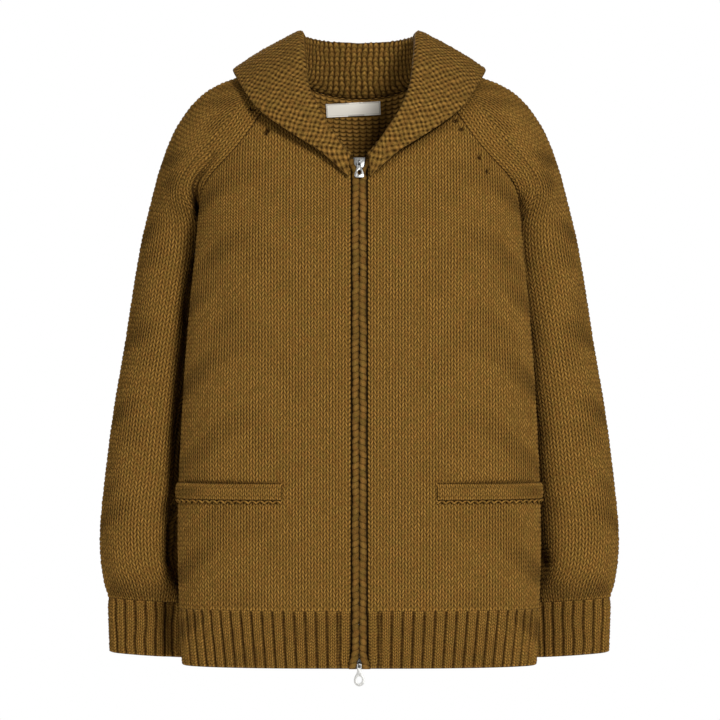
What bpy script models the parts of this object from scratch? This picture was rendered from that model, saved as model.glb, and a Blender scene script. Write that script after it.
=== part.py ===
"""Shawl-collared, zip-fronted raglan cardigan in bulky knit, filled out as if worn, with nobody inside it.

Metres, +Z up. The fronts face -Y and the wearer's left is +X. The origin lies on the middle plane between
the shoulders, at the level where the collar's corners rest on them: the wearer's shoulders hold it there.

The body is one run of flattened oval levels. The raglan seams and the neckline are curves on that surface,
so the fronts and the back are cut out of it, and each sleeve is lofted on from the same two seam curves.
Every panel is a closed wall: an outer grid of points, and an inner grid one thickness further in.
"""
import math
from collections import namedtuple

import bmesh
import bpy
import numpy as np
from mathutils import Vector
from mathutils.bvhtree import BVHTree

# ---- driving sizes ---------------------------------------------------------------------------------------
WALL = 0.0040               # thickness of the body knit
RIB_WALL = 0.0030           # ribbing, measured at the bottom of its valleys
RIB_RISE = 0.0018           # how far a rib stands above its valley
COLLAR_WALL = 0.0046        # the collar is knitted in a thicker stitch
COLLAR_CLEARANCE = 0.0008   # the fall of the collar lies this far off the panels where it rests on them
SEAM_GAP = 0.0003           # between two pieces that are sewn together
HALF_GAP = SEAM_GAP / 2
ARMPIT_GAP = 0.0004         # each corner's distance from the point where the four panels meet

HEM_LEVEL = -0.6705         # lower edge of the hem rib
RIB_TOP = -0.6060           # where the hem rib ends and the body begins
ARMPIT_LEVEL = -0.2000
FRONT_SHOULDER = -0.0020    # upper end of the front raglan seam
BACK_SHOULDER = 0.0080      # upper end of the back raglan seam
BACK_NECK_DIP = 0.0245      # how far the middle of the back neckline lies below its ends
ZIP_TOP = -0.0930           # bottom of the V of the neckline
BODY_ROUNDNESS = 2.6        # exponent of the oval: 2 is an ellipse, more is squarer
SIDE_SEAM = 108.0           # degrees round the body from the middle of the front

RIB_PITCH = 0.0120
CUFF_PITCH = 0.0118
FRONT_EDGE = 0.0092         # distance of the fronts' edges from the middle plane
PLAIN_BAND = 0.0150         # width beside the zip that has no ribs at the hem
RIB_SINK = 0.0010           # valleys of the ribbing lie this far below the body's surface

CORD_REACH = 0.0046         # the rolled edge cords that close over the zip: distance from the middle plane,
CORD_HALF_WIDTH = 0.0041    # half their width
CORD_HALF_DEPTH = 0.0021    # and half their depth
CORD_PROUD = 0.0012         # they stand this far out of the fronts
CORD_TOP = -0.1075
CORD_PART = -0.6300         # the cords begin to part here, round the lower slider
CORD_SPREAD = 0.0030        # how far each has moved sideways at the hem,
CORD_LIFT = 0.0036          # how far forwards,
CORD_FLARE = 0.0006         # and how much its half width has grown

TAPE_INNER, TAPE_OUTER = 0.0031, 0.0185
TAPE_THICKNESS = 0.0010
CHAIN_HALF_WIDTH = 0.0028
CHAIN_FRONT, CHAIN_BACK = -0.0007, 0.0017      # measured from the front of the tape

SLIDER_HALF_WIDTH = 0.0066  # at the wide end, where the two tapes part
SLIDER_NARROW = 0.0048      # at the end where the closed chain leaves it
SLIDER_LENGTH = 0.0120
SLIDER_TOP = -0.0940        # upper end of the top slider
SLIDER_BOTTOM = -0.6705     # lower end of the bottom slider
PLATE_FRONT, PLATE_INSIDE = -0.0032, -0.0010   # front plate, measured from the front of the tape
BACK_INSIDE, BACK_OUTSIDE = 0.0020, 0.0032     # back plate
CROWN_INSIDE, CROWN_OUTSIDE = 0.00135, 0.0024  # the loop that holds the pull
CROWN_HALF_WIDTH = 0.0011
WEDGE_HALF_WIDTH = 0.0016   # the post between the plates, at the wide end
JOIN_DEPTH = 0.0006         # how far the castings' parts run into each other
HINGE_FORWARD = 0.0022      # the pull's pin lies this far in front of the body's surface
PULL_THICKNESS = 0.0014
PIN_SIZE = 0.0014
WINDOW_HALF_WIDTH, WINDOW_LENGTH = 0.0015, 0.0030      # the opening of a pull that the crown passes through
CUT_REACH = 0.003           # the cutters of a pull's openings run this far past its middle

WELT_THICKNESS = 0.0034
WELT_TOP, WELT_BOTTOM = -0.4615, -0.4805
POCKET_FIRST, POCKET_LAST = 3.6, 10.9          # the pocket's ends, counted in columns of the front
POCKET_FLOOR = -0.6045
POCKET_BAG = 0.0022         # thickness of the pocket's inner layer

LABEL_CENTRE = (-0.0070, -0.0295)              # across and up
LABEL_SIZE = (0.0635, 0.0155)
LABEL_THICKNESS = 0.0007
LABEL_TILT = 3.0            # degrees

# ---- tables of sections ----------------------------------------------------------------------------------
Level = namedtuple("Level", "height half_width front_depth back_depth taper")
BODY_LEVELS = [             # taper: how much narrower the body is behind its front corners
    Level(-0.6705, 0.2090, 0.0960, 0.0900, 0.10),
    Level(-0.6060, 0.2120, 0.1040, 0.0970, 0.11),
    Level(-0.5200, 0.2140, 0.1080, 0.1000, 0.13),
    Level(-0.4000, 0.2100, 0.1080, 0.1010, 0.15),
    Level(-0.3000, 0.2040, 0.1070, 0.1020, 0.18),
    Level(-0.2000, 0.1950, 0.1050, 0.1030, 0.21),
    Level(-0.1340, 0.1880, 0.1010, 0.1010, 0.18),
    Level(-0.0860, 0.1760, 0.0920, 0.0960, 0.14),
    Level(-0.0440, 0.1510, 0.0760, 0.0860, 0.10),
    Level(-0.0020, 0.1210, 0.0530, 0.0720, 0.06),
    Level(0.0120, 0.1090, 0.0430, 0.0600, 0.05),
]

SeamAngle = namedtuple("SeamAngle", "height degrees")
FRONT_RAGLAN = [
    SeamAngle(-0.2000, 108.0), SeamAngle(-0.1600, 91.0), SeamAngle(-0.1210, 69.5),
    SeamAngle(-0.0860, 51.5), SeamAngle(-0.0440, 43.8), SeamAngle(-0.0020, 39.7),
]
BACK_RAGLAN = [
    SeamAngle(-0.2000, 108.0), SeamAngle(-0.1500, 121.0), SeamAngle(-0.1000, 129.5),
    SeamAngle(-0.0500, 135.5), SeamAngle(0.0080, 139.0),
]

NeckPoint = namedtuple("NeckPoint", "height reach")
FRONT_NECKLINE = [
    NeckPoint(-0.0930, 0.0105), NeckPoint(-0.0730, 0.0310), NeckPoint(-0.0500, 0.0520),
    NeckPoint(-0.0260, 0.0690), NeckPoint(-0.0020, 0.0775),
]

# A sleeve section leaves its front seam (or the underarm) along front_pull, arrives at the outer point
# along front_ease, and comes back to the back seam in the same way. place is -1 at the cuff, 0 at the
# armpit and 1 at the neck. under is the underarm point, used below the armpit only.
Section = namedtuple("Section", "place under outer front_pull front_ease back_pull back_ease")
SLEEVE_SECTIONS = [
    Section(-1.00, (0.1985, 0.0440, -0.6035), (0.2905, 0.0420, -0.5975),
            (0.000, -0.034, 0), (0, -0.034, 0), (0.000, 0.034, 0), (0, 0.034, 0)),
    Section(-0.94, (0.1962, 0.0450, -0.5800), (0.2970, 0.0425, -0.5730),
            (0.000, -0.066, 0), (0, -0.066, 0), (0.000, 0.064, 0), (0, 0.064, 0)),
    Section(-0.84, (0.1925, 0.0470, -0.5400), (0.3005, 0.0430, -0.5320),
            (0.000, -0.078, 0), (0, -0.078, 0), (0.000, 0.075, 0), (0, 0.075, 0)),
    Section(-0.62, (0.1840, 0.0500, -0.4500), (0.2925, 0.0450, -0.4400),
            (0.000, -0.080, 0), (0, -0.080, 0), (0.000, 0.077, 0), (0, 0.077, 0)),
    Section(-0.39, (0.1720, 0.0520, -0.3600), (0.2795, 0.0480, -0.3470),
            (0.000, -0.080, 0), (0, -0.081, 0), (0.000, 0.080, 0), (0, 0.080, 0)),
    Section(-0.17, (0.1620, 0.0520, -0.2700), (0.2620, 0.0500, -0.2540),
            (0.010, -0.078, 0), (0, -0.082, 0), (0.000, 0.079, 0), (0, 0.080, 0)),
    Section(0.00, (0.1485, 0.0420, -0.2000), (0.2520, 0.0450, -0.1830),
            (0.032, -0.060, 0), (0, -0.070, 0), (0.010, 0.070, 0), (0, 0.067, 0)),
    Section(0.20, (0, 0, 0), (0.2430, 0.0400, -0.1480),
            (0.031, -0.047, 0), (0, -0.062, 0), (0.022, 0.048, 0), (0, 0.055, 0)),
    Section(0.40, (0, 0, 0), (0.2310, 0.0340, -0.1020),
            (0.034, -0.010, 0.002), (0, -0.052, -0.004), (0.046, 0.024, 0), (0, 0.046, 0)),
    Section(0.58, (0, 0, 0), (0.2120, 0.0270, -0.0545),
            (0.038, 0.008, 0.008), (0, -0.044, -0.005), (0.046, 0.008, 0.006), (0, 0.036, 0)),
    Section(0.80, (0, 0, 0), (0.1700, 0.0150, -0.0090),
            (0.030, 0.007, 0.016), (0, -0.034, -0.004), (0.034, 0.001, 0.014), (0, 0.030, 0)),
    Section(0.90, (0, 0, 0), (0.1300, 0.0060, 0.0060),
            (0.016, 0.012, 0.014), (0, -0.024, -0.001), (0.018, -0.008, 0.012), (0, 0.024, 0)),
    Section(1.00, (0, 0, 0), (0.0930, 0.0000, 0.0140),
            (0.006, 0.014, 0.010), (0, -0.015, 0), (0.006, -0.014, 0.004), (0, 0.015, 0)),
]

CUFF_END = Section(-1.1, (0.2000, 0.0425, -0.6663), (0.2885, 0.0405, -0.6605),
                   (0.000, -0.032, 0), (0, -0.032, 0), (0.000, 0.032, 0), (0, 0.032, 0))

# The collar stands up from the neckline, folds over at fold, and falls outside to edge. place is 0 at the
# middle of the back and 1 at the top of the zip; wall is its thickness there.
Roll = namedtuple("Roll", "place fold edge bend wall")
COLLAR_ROLLS = [
    Roll(0.00, (0.0000, 0.0830, 0.0460), (0.0000, 0.1040, -0.0280), 0.0052, COLLAR_WALL),
    Roll(0.15, (0.0400, 0.0720, 0.0475), (0.0600, 0.1010, -0.0270), 0.0052, COLLAR_WALL),
    Roll(0.29, (0.0645, 0.0400, 0.0505), (0.1120, 0.0720, -0.0150), 0.0052, COLLAR_WALL),
    Roll(0.42, (0.0655, 0.0000, 0.0515), (0.1430, 0.0160, 0.0110), 0.0052, COLLAR_WALL),
    Roll(0.56, (0.0635, -0.0460, 0.0220), (0.1370, -0.0340, -0.0050), 0.0052, COLLAR_WALL),
    Roll(0.70, (0.0565, -0.0780, -0.0180), (0.1120, -0.0780, -0.0400), 0.0050, COLLAR_WALL),
    Roll(0.82, (0.0400, -0.0950, -0.0500), (0.0715, -0.0960, -0.0690), 0.0046, 0.0042),
    Roll(0.91, (0.0255, -0.1018, -0.0725), (0.0450, -0.1016, -0.0855), 0.0042, 0.0038),
    Roll(1.00, (0.0128, -0.1036, -0.0925), (0.0152, -0.1030, -0.1145), 0.0032, 0.0030),
]

# ---- how finely the walls are divided --------------------------------------------------------------------
LOW_ROWS = 9                # hem to armpit
CAP_ROWS = 12               # armpit to neck
FRONT_COLUMNS = 14
BACK_COLUMNS = 20
SLEEVE_COLUMNS = 16


# ---- small tools -----------------------------------------------------------------------------------------
def smooth(knots, values, at):
    """A smooth curve through the values at the knots; each knot's slope is the mean of its two chords."""
    knots, values = np.asarray(knots, float), np.asarray(values, float)
    flat = values.reshape(len(knots), -1)
    chords = np.diff(flat, axis=0) / np.diff(knots)[:, None]
    slopes = np.vstack([chords[:1], (chords[1:] + chords[:-1]) / 2, chords[-1:]])
    at = np.clip(np.asarray(at, float), knots[0], knots[-1])
    low = np.clip(np.searchsorted(knots, at, side="right") - 1, 0, len(knots) - 2)
    span = (knots[low + 1] - knots[low])[..., None]
    part = (at - knots[low])[..., None] / span
    value_part = flat[low] * (2 * part**3 - 3 * part**2 + 1) + flat[low + 1] * (3 * part**2 - 2 * part**3)
    slope_part = slopes[low] * (part**3 - 2 * part**2 + part) + slopes[low + 1] * (part**3 - part**2)
    return (value_part + slope_part * span).reshape(at.shape + values.shape[1:])


def column(table, name):
    """One named column of a table."""
    return [getattr(row, name) for row in table]


def unit(vectors):
    """The same directions at length one."""
    vectors = np.asarray(vectors, float)
    return vectors / np.maximum(np.linalg.norm(vectors, axis=-1, keepdims=True), 1e-12)


def soft_step(value):
    """0 below 0, 1 above 1, and smooth between."""
    value = np.clip(value, 0, 1)
    return value * value * (3 - 2 * value)


def mirrored(points):
    """The same points on the other side of the body."""
    return points * np.array([-1.0, 1.0, 1.0])


# ---- the body surface ------------------------------------------------------------------------------------
def body_point(degrees, height):
    """The outer surface: degrees run from the middle of the front over the wearer's left to the back."""
    degrees, height = np.broadcast_arrays(np.asarray(degrees, float), np.asarray(height, float))
    shape = smooth(column(BODY_LEVELS, "height"), [row[1:] for row in BODY_LEVELS], height)
    half_width, front_depth, back_depth, taper = np.moveaxis(shape, -1, 0)
    angle = np.radians(degrees)
    power = 2 / BODY_ROUNDNESS
    depth = np.where(np.cos(angle) > 0, front_depth, back_depth)
    y = -np.sign(np.cos(angle)) * depth * np.abs(np.cos(angle))**power
    narrowing = 1 - taper * soft_step((y + 0.050) / 0.080)
    x = half_width * np.sign(np.sin(angle)) * np.abs(np.sin(angle))**power * narrowing
    return np.stack([x, y, height], axis=-1)


def angle_at_reach(reach, height):
    """Where the front of the body lies at this distance from the middle plane."""
    half_width = smooth(column(BODY_LEVELS, "height"), column(BODY_LEVELS, "half_width"), height)
    return np.degrees(np.arcsin((reach / half_width)**(BODY_ROUNDNESS / 2)))


def body_normal(degrees, height):
    """Outward normal of the body surface."""
    step_angle, step_height = 0.5, 0.0005
    across = body_point(degrees + step_angle, height) - body_point(degrees - step_angle, height)
    up = body_point(degrees, height + step_height) - body_point(degrees, height - step_height)
    return unit(np.cross(across, up))


def even_angles(start, end, height, count):
    """Angles that divide the stretch of one level from start to end into equal lengths of cloth."""
    fine = np.linspace(start, end, 160)
    points = body_point(fine, height)
    length = np.concatenate([[0], np.cumsum(np.linalg.norm(np.diff(points, axis=0), axis=1))])
    return np.interp(np.linspace(0, length[-1], count + 1), length, fine)


# ---- seams -----------------------------------------------------------------------------------------------
ZIP_PLACE = (ZIP_TOP - ARMPIT_LEVEL) / (FRONT_SHOULDER - ARMPIT_LEVEL)
CAP_PLACES = np.concatenate([np.linspace(0, ZIP_PLACE, 8), np.linspace(ZIP_PLACE, 1, 6)[1:]])


def raglan(table, end_level, place):
    """Angle and height on the body of a raglan seam, from the armpit (0) to the neck (1)."""
    height = ARMPIT_LEVEL + (end_level - ARMPIT_LEVEL) * np.asarray(place, float)
    return smooth(column(table, "height"), column(table, "degrees"), height), height


def front_raglan(place):
    """Front raglan seam."""
    return raglan(FRONT_RAGLAN, FRONT_SHOULDER, place)


def back_raglan(place):
    """Back raglan seam."""
    return raglan(BACK_RAGLAN, BACK_SHOULDER, place)


def low_heights():
    """Levels from the top of the rib to the armpit."""
    return np.linspace(RIB_TOP + HALF_GAP, ARMPIT_LEVEL, LOW_ROWS + 1)


# ---- panels as grids of outer points, rows going up ------------------------------------------------------
def front_grid():
    """The wearer's left front: columns run from its edge at the zip to the side and raglan seam."""
    seam_angles, seam_heights = front_raglan(CAP_PLACES)
    rows = []
    for height in low_heights()[:-1]:
        rows.append((angle_at_reach(FRONT_EDGE, height), SIDE_SEAM, height))
    for angle, height in zip(seam_angles, seam_heights):
        reach = FRONT_EDGE
        if height > ZIP_TOP - HALF_GAP:
            reach = float(smooth(column(FRONT_NECKLINE, "height"), column(FRONT_NECKLINE, "reach"), height))
        rows.append((angle_at_reach(reach, height), angle, height))
    return np.array([body_point(even_angles(a, b, h, FRONT_COLUMNS), h) for a, b, h in rows])


def back_grid():
    """The back: columns run from the wearer's left seam round to the right one."""
    seam_angles, seam_heights = back_raglan(CAP_PLACES)
    levels = [(SIDE_SEAM, h) for h in low_heights()[:-1]] + list(zip(seam_angles, seam_heights))
    across = np.linspace(-1, 1, BACK_COLUMNS + 1)
    rows = []
    for angle, height in levels:
        part = soft_step((height - ARMPIT_LEVEL) / (BACK_SHOULDER - ARMPIT_LEVEL))
        dipped = height - BACK_NECK_DIP * part**2 * (1 - across**2)
        angles = even_angles(angle, 360 - angle, height, BACK_COLUMNS)
        rows.append(body_point(angles, dipped))
    return np.array(rows)


def section_curve(front, back, outer, pulls, fractions):
    """Two Bezier curves, front to outer and outer to back, read at these fractions of their whole length."""
    front_pull, front_ease, back_pull, back_ease = (np.asarray(pull) for pull in pulls)
    halves = [(front, front + front_pull, outer + front_ease, outer),
              (outer, outer + back_ease, back + back_pull, back)]
    part = np.linspace(0, 1, 60)[:, None]
    curves = [(1 - part)**3 * a + 3 * (1 - part)**2 * part * b + 3 * (1 - part) * part**2 * c + part**3 * d
              for a, b, c, d in halves]
    fine = np.vstack([curves[0], curves[1][1:]])
    length = np.concatenate([[0], np.cumsum(np.linalg.norm(np.diff(fine, axis=0), axis=1))])
    wanted = np.asarray(fractions) * length[-1]
    return np.stack([np.interp(wanted, length, fine[:, axis]) for axis in range(3)], axis=1)


def sleeve_section(place, fractions):
    """One section of the left sleeve, from the front seam over the outer side to the back seam."""
    names = ("front_pull", "front_ease", "back_pull", "back_ease")
    places = column(SLEEVE_SECTIONS, "place")
    pulls = [smooth(places, column(SLEEVE_SECTIONS, name), place) for name in names]
    outer = smooth(places, column(SLEEVE_SECTIONS, "outer"), place)
    if place < 0:
        tube = [row for row in SLEEVE_SECTIONS if row.place <= 0]
        front = back = smooth(column(tube, "place"), column(tube, "under"), place)
    else:
        front, back = body_point(*front_raglan(place)), body_point(*back_raglan(place))
    return section_curve(front, back, outer, pulls, fractions)


SLEEVE_PLACES = np.concatenate([[-1, -0.965, -0.92, -0.86], np.linspace(-0.76, 0, 8)[:-1], CAP_PLACES])


def sleeve_grid():
    """The left sleeve, rows going up from the cuff to the neck."""
    fractions = np.linspace(0, 1, SLEEVE_COLUMNS + 1)
    return np.array([sleeve_section(place, fractions) for place in SLEEVE_PLACES])


def grid_normals(grid, closed=False):
    """Outward normals of a grid whose columns run clockwise seen from above and whose rows go up."""
    if closed:
        across = np.roll(grid, -1, axis=1) - np.roll(grid, 1, axis=1)
    else:
        across = np.gradient(grid, axis=1)
    up = np.gradient(grid, axis=0)
    return unit(np.cross(across, up))


# ---- meshes ----------------------------------------------------------------------------------------------
COLOURS = {                 # sRGB base colour, roughness, metallic
    "bulky wool knit": ((0.50, 0.37, 0.18), 0.95, 0.0),
    "ribbed wool knit": ((0.48, 0.35, 0.17), 0.95, 0.0),
    "woven label": ((0.86, 0.85, 0.80), 0.85, 0.0),
    "zip tape": ((0.25, 0.19, 0.10), 0.90, 0.0),
    "nickel plated zinc": ((0.78, 0.78, 0.76), 0.28, 1.0),
}


def material(name):
    """The named finish, made once."""
    if name in bpy.data.materials:
        return bpy.data.materials[name]
    colour, roughness, metallic = COLOURS[name]
    made = bpy.data.materials.new(name)
    made.use_nodes = True
    shader = made.node_tree.nodes["Principled BSDF"]
    linear = [((c + 0.055) / 1.055)**2.4 if c > 0.04045 else c / 12.92 for c in colour]
    shader.inputs["Base Color"].default_value = (*linear, 1.0)
    shader.inputs["Roughness"].default_value = roughness
    shader.inputs["Metallic"].default_value = metallic
    made.diffuse_color = (*linear, 1.0)
    return made


def mesh_of(name, form):
    """Turn a finished bmesh into a mesh with its faces outwards."""
    bmesh.ops.recalc_face_normals(form, faces=form.faces)
    mesh = bpy.data.meshes.new(name)
    form.to_mesh(mesh)
    form.free()
    return mesh


def add_object(name, mesh, finish, smooth_angle=40.0):
    """Put a mesh in the scene under its node's name."""
    mesh.materials.append(material(finish))
    mesh.shade_smooth()
    mesh.set_sharp_from_angle(angle=math.radians(smooth_angle))
    made = bpy.data.objects.new(name, mesh)
    bpy.context.scene.collection.objects.link(made)
    return made


def wall(name, outer, inner, finish, closed=False):
    """A closed solid between two grids of points; closed joins the last column to the first."""
    rows, columns = outer.shape[:2]
    form = bmesh.new()
    skins = [[[form.verts.new(point) for point in row] for row in grid] for grid in (outer, inner)]
    spans = range(columns) if closed else range(columns - 1)
    for row in range(rows - 1):
        for col in spans:
            after = (col + 1) % columns
            for skin, turned in zip(skins, (False, True)):
                face = [skin[row][col], skin[row][after], skin[row + 1][after], skin[row + 1][col]]
                form.faces.new(face[::-1] if turned else face)
    for col in spans:
        after = (col + 1) % columns
        for row, turned in ((0, True), (rows - 1, False)):
            face = [skins[0][row][col], skins[0][row][after], skins[1][row][after], skins[1][row][col]]
            form.faces.new(face[::-1] if turned else face)
    if not closed:
        for row in range(rows - 1):
            for col, turned in ((0, False), (columns - 1, True)):
                face = [skins[0][row][col], skins[0][row + 1][col],
                        skins[1][row + 1][col], skins[1][row][col]]
                form.faces.new(face[::-1] if turned else face)
    bmesh.ops.triangulate(form, faces=form.faces)
    return add_object(name, mesh_of(name, form), finish)


def edge_tangents(line):
    """Direction along a line of points."""
    return unit(np.gradient(line, axis=0))


def step_back(outer, inner, col, inward, distance):
    """Turn the end wall at a column into the seam's own direction and draw it back from the seam line."""
    neighbour = col + 1 if col == 0 else col - 1
    line = outer[:, col]
    side = unit(np.cross(edge_tangents(line), inward))
    side *= np.sign(np.sum(side * (outer[:, neighbour] - line), axis=1, keepdims=True))
    for row in range(len(side) - 2, len(side) - CAP_ROWS - 1, -1):
        side[row] *= np.sign(np.dot(side[row], side[row + 1]))
    thickness = np.linalg.norm(inner[:, col] - outer[:, col], axis=1, keepdims=True)
    line = line + side * distance[:, None]
    line[-CAP_ROWS - 1] += inward[-CAP_ROWS - 1] * HALF_GAP
    inner[:, col] = line + inward * thickness
    outer[:, col] = line


def thick(grid, thickness=WALL):
    """Outer and inner grid of a plain wall."""
    return grid.copy(), grid - grid_normals(grid) * thickness


# ---- seams' shared inward directions ---------------------------------------------------------------------
def raglan_inward(body_side, sleeve_side, pull):
    """Inward direction of a raglan seam: it halves the angle of the two walls that meet there."""
    bias = np.linspace(1, 0, len(body_side))[:, None] ** 2 * np.asarray(pull)
    return -unit(body_side + sleeve_side - bias)


class Wool:
    """Grids of all the knitted panels, worked out together because they share their seams."""

    def __init__(self):
        self.front = thick(front_grid())
        self.back = thick(back_grid())
        self.sleeve = thick(sleeve_grid())
        self.tube_rows = len(SLEEVE_PLACES) - len(CAP_PLACES)
        self.sew_raglans()
        self.sew_sides()

    def sew_raglans(self):
        """Fronts, back and sleeve meet along the raglan seams."""
        sleeve_normals = grid_normals(self.sleeve[0])[self.tube_rows:]
        front_side, back_side = (body_normal(*seam(CAP_PLACES)) for seam in (front_raglan, back_raglan))
        front_in = raglan_inward(front_side, sleeve_normals[:, 0], (0, 0.5, 0))
        back_in = raglan_inward(back_side, sleeve_normals[:, -1], (0, -0.5, 0))
        plain_side = -body_normal(np.full(LOW_ROWS, SIDE_SEAM), low_heights()[:-1])
        under = -unit(grid_normals(self.sleeve[0])[:self.tube_rows, 0]
                      + grid_normals(self.sleeve[0])[:self.tube_rows, -1])

        def joined(low, cap):
            """Below the armpit, and at it, the direction is the side's own."""
            return np.vstack([low, low[-1:], cap[1:]])

        body_gap, sleeve_gap = self.seam_gap(LOW_ROWS), self.seam_gap(self.tube_rows)
        step_back(*self.front, -1, joined(plain_side, front_in), body_gap)
        step_back(*self.back, 0, joined(plain_side, back_in), body_gap)
        step_back(*self.back, -1, mirrored(joined(plain_side, back_in)), body_gap)
        step_back(*self.sleeve, 0, joined(under, front_in), sleeve_gap)
        step_back(*self.sleeve, -1, joined(under, back_in), sleeve_gap)

    def seam_gap(self, rows_below):
        """Half the gap at each row of a seam; it is wider at the armpit, where four corners meet."""
        gap = np.full(rows_below + len(CAP_PLACES), HALF_GAP)
        gap[rows_below:rows_below + 2] = ARMPIT_GAP
        return gap

    def sew_sides(self):
        """The fronts' edges at the zip stay square to the middle plane."""
        outer, inner = self.front
        low = outer[:, 0, 2] <= ZIP_TOP + 1e-6
        inner[low, 0] = outer[low, 0] + np.array([0, WALL, 0])


def build_pair(name, outer, inner, finish, closed=False):
    """The wearer's left piece and its mirror image on the right."""
    wall(name + "_left", outer, inner, finish, closed)
    wall(name + "_right", mirrored(outer), mirrored(inner), finish, closed)


def build_panels(wool):
    """Fronts, back and sleeves."""
    build_pair("front", *wool.front, "bulky wool knit")
    wall("back", *wool.back, "bulky wool knit")
    build_pair("sleeve", *wool.sleeve, "bulky wool knit")


# ---- ribbing ---------------------------------------------------------------------------------------------
RIB_PROFILE = [(0.00, 0.0), (0.20, 0.0), (0.34, 1.0), (0.86, 1.0)]      # fraction of the pitch, rise


def rib_places(length, pitch, plain=0.0):
    """Where along a band of this length the ribbing's corners lie, and how high each stands."""
    count = round((length - plain) / pitch)
    true_pitch = (length - plain) / count
    corners = [(0.0, 0.0)] if plain else []
    for rib in range(count):
        corners += [(plain + (rib + part) * true_pitch, rise) for part, rise in RIB_PROFILE]
    return np.array(corners)


def level_length(start, end, height):
    """Length of cloth along one level of the body."""
    points = body_point(np.linspace(start, end, 200), height)
    return np.linalg.norm(np.diff(points, axis=0), axis=1).sum()


def ribbed_grids(points, normals, rises):
    """Outer grid with the ribs raised in it, and the plain inner grid."""
    outer = points + normals * (RIB_RISE * rises[None, :, None] - RIB_SINK)
    inner = points - normals * (RIB_SINK + RIB_WALL)
    return outer, inner


def hem_grids(start, end, plain, last_rise=0.0):
    """The hem rib below one panel, from angle start to angle end."""
    heights = [HEM_LEVEL, RIB_TOP - HALF_GAP]
    corners = rib_places(level_length(start, end, HEM_LEVEL), RIB_PITCH, plain)
    whole = level_length(start, end, HEM_LEVEL)
    fractions = np.append(corners[:, 0] / whole, 1.0)
    rises = np.append(corners[:, 1], last_rise)
    fine = np.linspace(0, 1, 321)
    angles = [np.interp(fractions, fine, even_angles(start, end, height, 320)) for height in heights]
    points = np.array([body_point(row, height) for row, height in zip(angles, heights)])
    normals = np.array([body_normal(row, height) for row, height in zip(angles, heights)])
    normals[..., 2] = 0
    return ribbed_grids(points, unit(normals), rises)


def build_hem():
    """Hem rib of the fronts and the back, parted at the side seams."""
    middle_level = (HEM_LEVEL + RIB_TOP) / 2
    gap_angle = math.degrees(HALF_GAP / 0.09)
    front_start = float(angle_at_reach(FRONT_EDGE, middle_level))
    build_pair("hem_front", *hem_grids(front_start, SIDE_SEAM - gap_angle, PLAIN_BAND), "ribbed wool knit")
    outer, inner = hem_grids(SIDE_SEAM + gap_angle, 360 - SIDE_SEAM - gap_angle, 0.0)
    wall("hem_back", outer, inner, "ribbed wool knit")


def build_cuffs():
    """Ribbed cuffs, rings that hang from the ends of the sleeves."""
    top = SLEEVE_SECTIONS[0]
    fine = section_curve(np.array(top.under), np.array(top.under), np.array(top.outer), top[3:],
                         np.linspace(0, 1, 400))
    around = np.linalg.norm(np.diff(fine, axis=0), axis=1).sum()
    corners = rib_places(around, CUFF_PITCH)
    rows = []
    for part in (1.0, 0.55, 0.0):
        under, outer_point, *pulls = (np.asarray(a) * (1 - part) + np.asarray(b) * part
                                      for a, b in zip(top[1:], CUFF_END[1:]))
        rows.append(section_curve(under, under, outer_point, pulls, corners[:, 0] / around))
    points = np.array(rows)
    points[-1, :, 2] -= SEAM_GAP
    build_pair("cuff", *ribbed_grids(points, grid_normals(points, closed=True), corners[:, 1]),
               "ribbed wool knit", closed=True)


# ---- collar ----------------------------------------------------------------------------------------------
FOLD_STEP = 3.0             # the fold is the fourth of the seven points that shape a section
COLLAR_READ = [0, 0.9, 1.6, 2.1, 2.55, 3.0, 3.45, 3.9, 4.5, 5.2, 6.0]


class Neckline:
    """The points where the collar is sewn on, from the middle of the back to the top of the zip."""

    def __init__(self, wool):
        outer, inner, beside = [], [], []

        def take(grids, places, neighbours):
            outer.extend(grids[0][place] for place in places)
            inner.extend(grids[1][place] for place in places)
            beside.extend(grids[0][place] for place in neighbours)

        middle = BACK_COLUMNS // 2
        take(wool.back, [(-1, c) for c in range(middle, 0, -1)], [(-2, c) for c in range(middle, 0, -1)])
        sleeve_columns = [-1] + list(range(SLEEVE_COLUMNS - 2, 0, -2)) + [0]
        take(wool.sleeve, [(-1, c) for c in sleeve_columns], [(-2, c) for c in sleeve_columns])
        heights = wool.front[0][:, 0, 2]
        rows = [row for row in range(len(heights) - 1, 0, -1) if heights[row] > ZIP_TOP - HALF_GAP]
        take(wool.front, [(row, 0) for row in rows], [(row, 1) for row in rows])
        self.outer, self.inner, beside = np.array(outer), np.array(inner), np.array(beside)
        self.inward = unit(self.inner - self.outer)
        onward = unit(np.cross(edge_tangents(self.outer), self.inward))
        self.onward = onward * np.sign(np.sum(onward * (self.outer - beside), axis=1, keepdims=True))
        steps = np.linalg.norm(np.diff(self.outer, axis=0), axis=1)
        self.place = np.concatenate([[0], np.cumsum(steps)]) / steps.sum()


def softened(vectors, rounds=2):
    """Directions evened out along the line."""
    for _ in range(rounds):
        inside = (vectors[:-2] + 2 * vectors[1:-1] + vectors[2:]) / 4
        vectors = np.vstack([vectors[:1], inside, vectors[-1:]])
    return unit(vectors)


def skin_of(*grids):
    """A search tree over the outer skins of some panels."""
    points, faces = [], []
    for grid in grids:
        start, (rows, columns) = len(points), grid.shape[:2]
        points.extend(map(Vector, grid.reshape(-1, 3)))
        for row in range(rows - 1):
            for col in range(columns - 1):
                corner = start + row * columns + col
                faces.append((corner, corner + 1, corner + columns + 1, corner + columns))
    return BVHTree.FromPolygons(points, faces)


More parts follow.
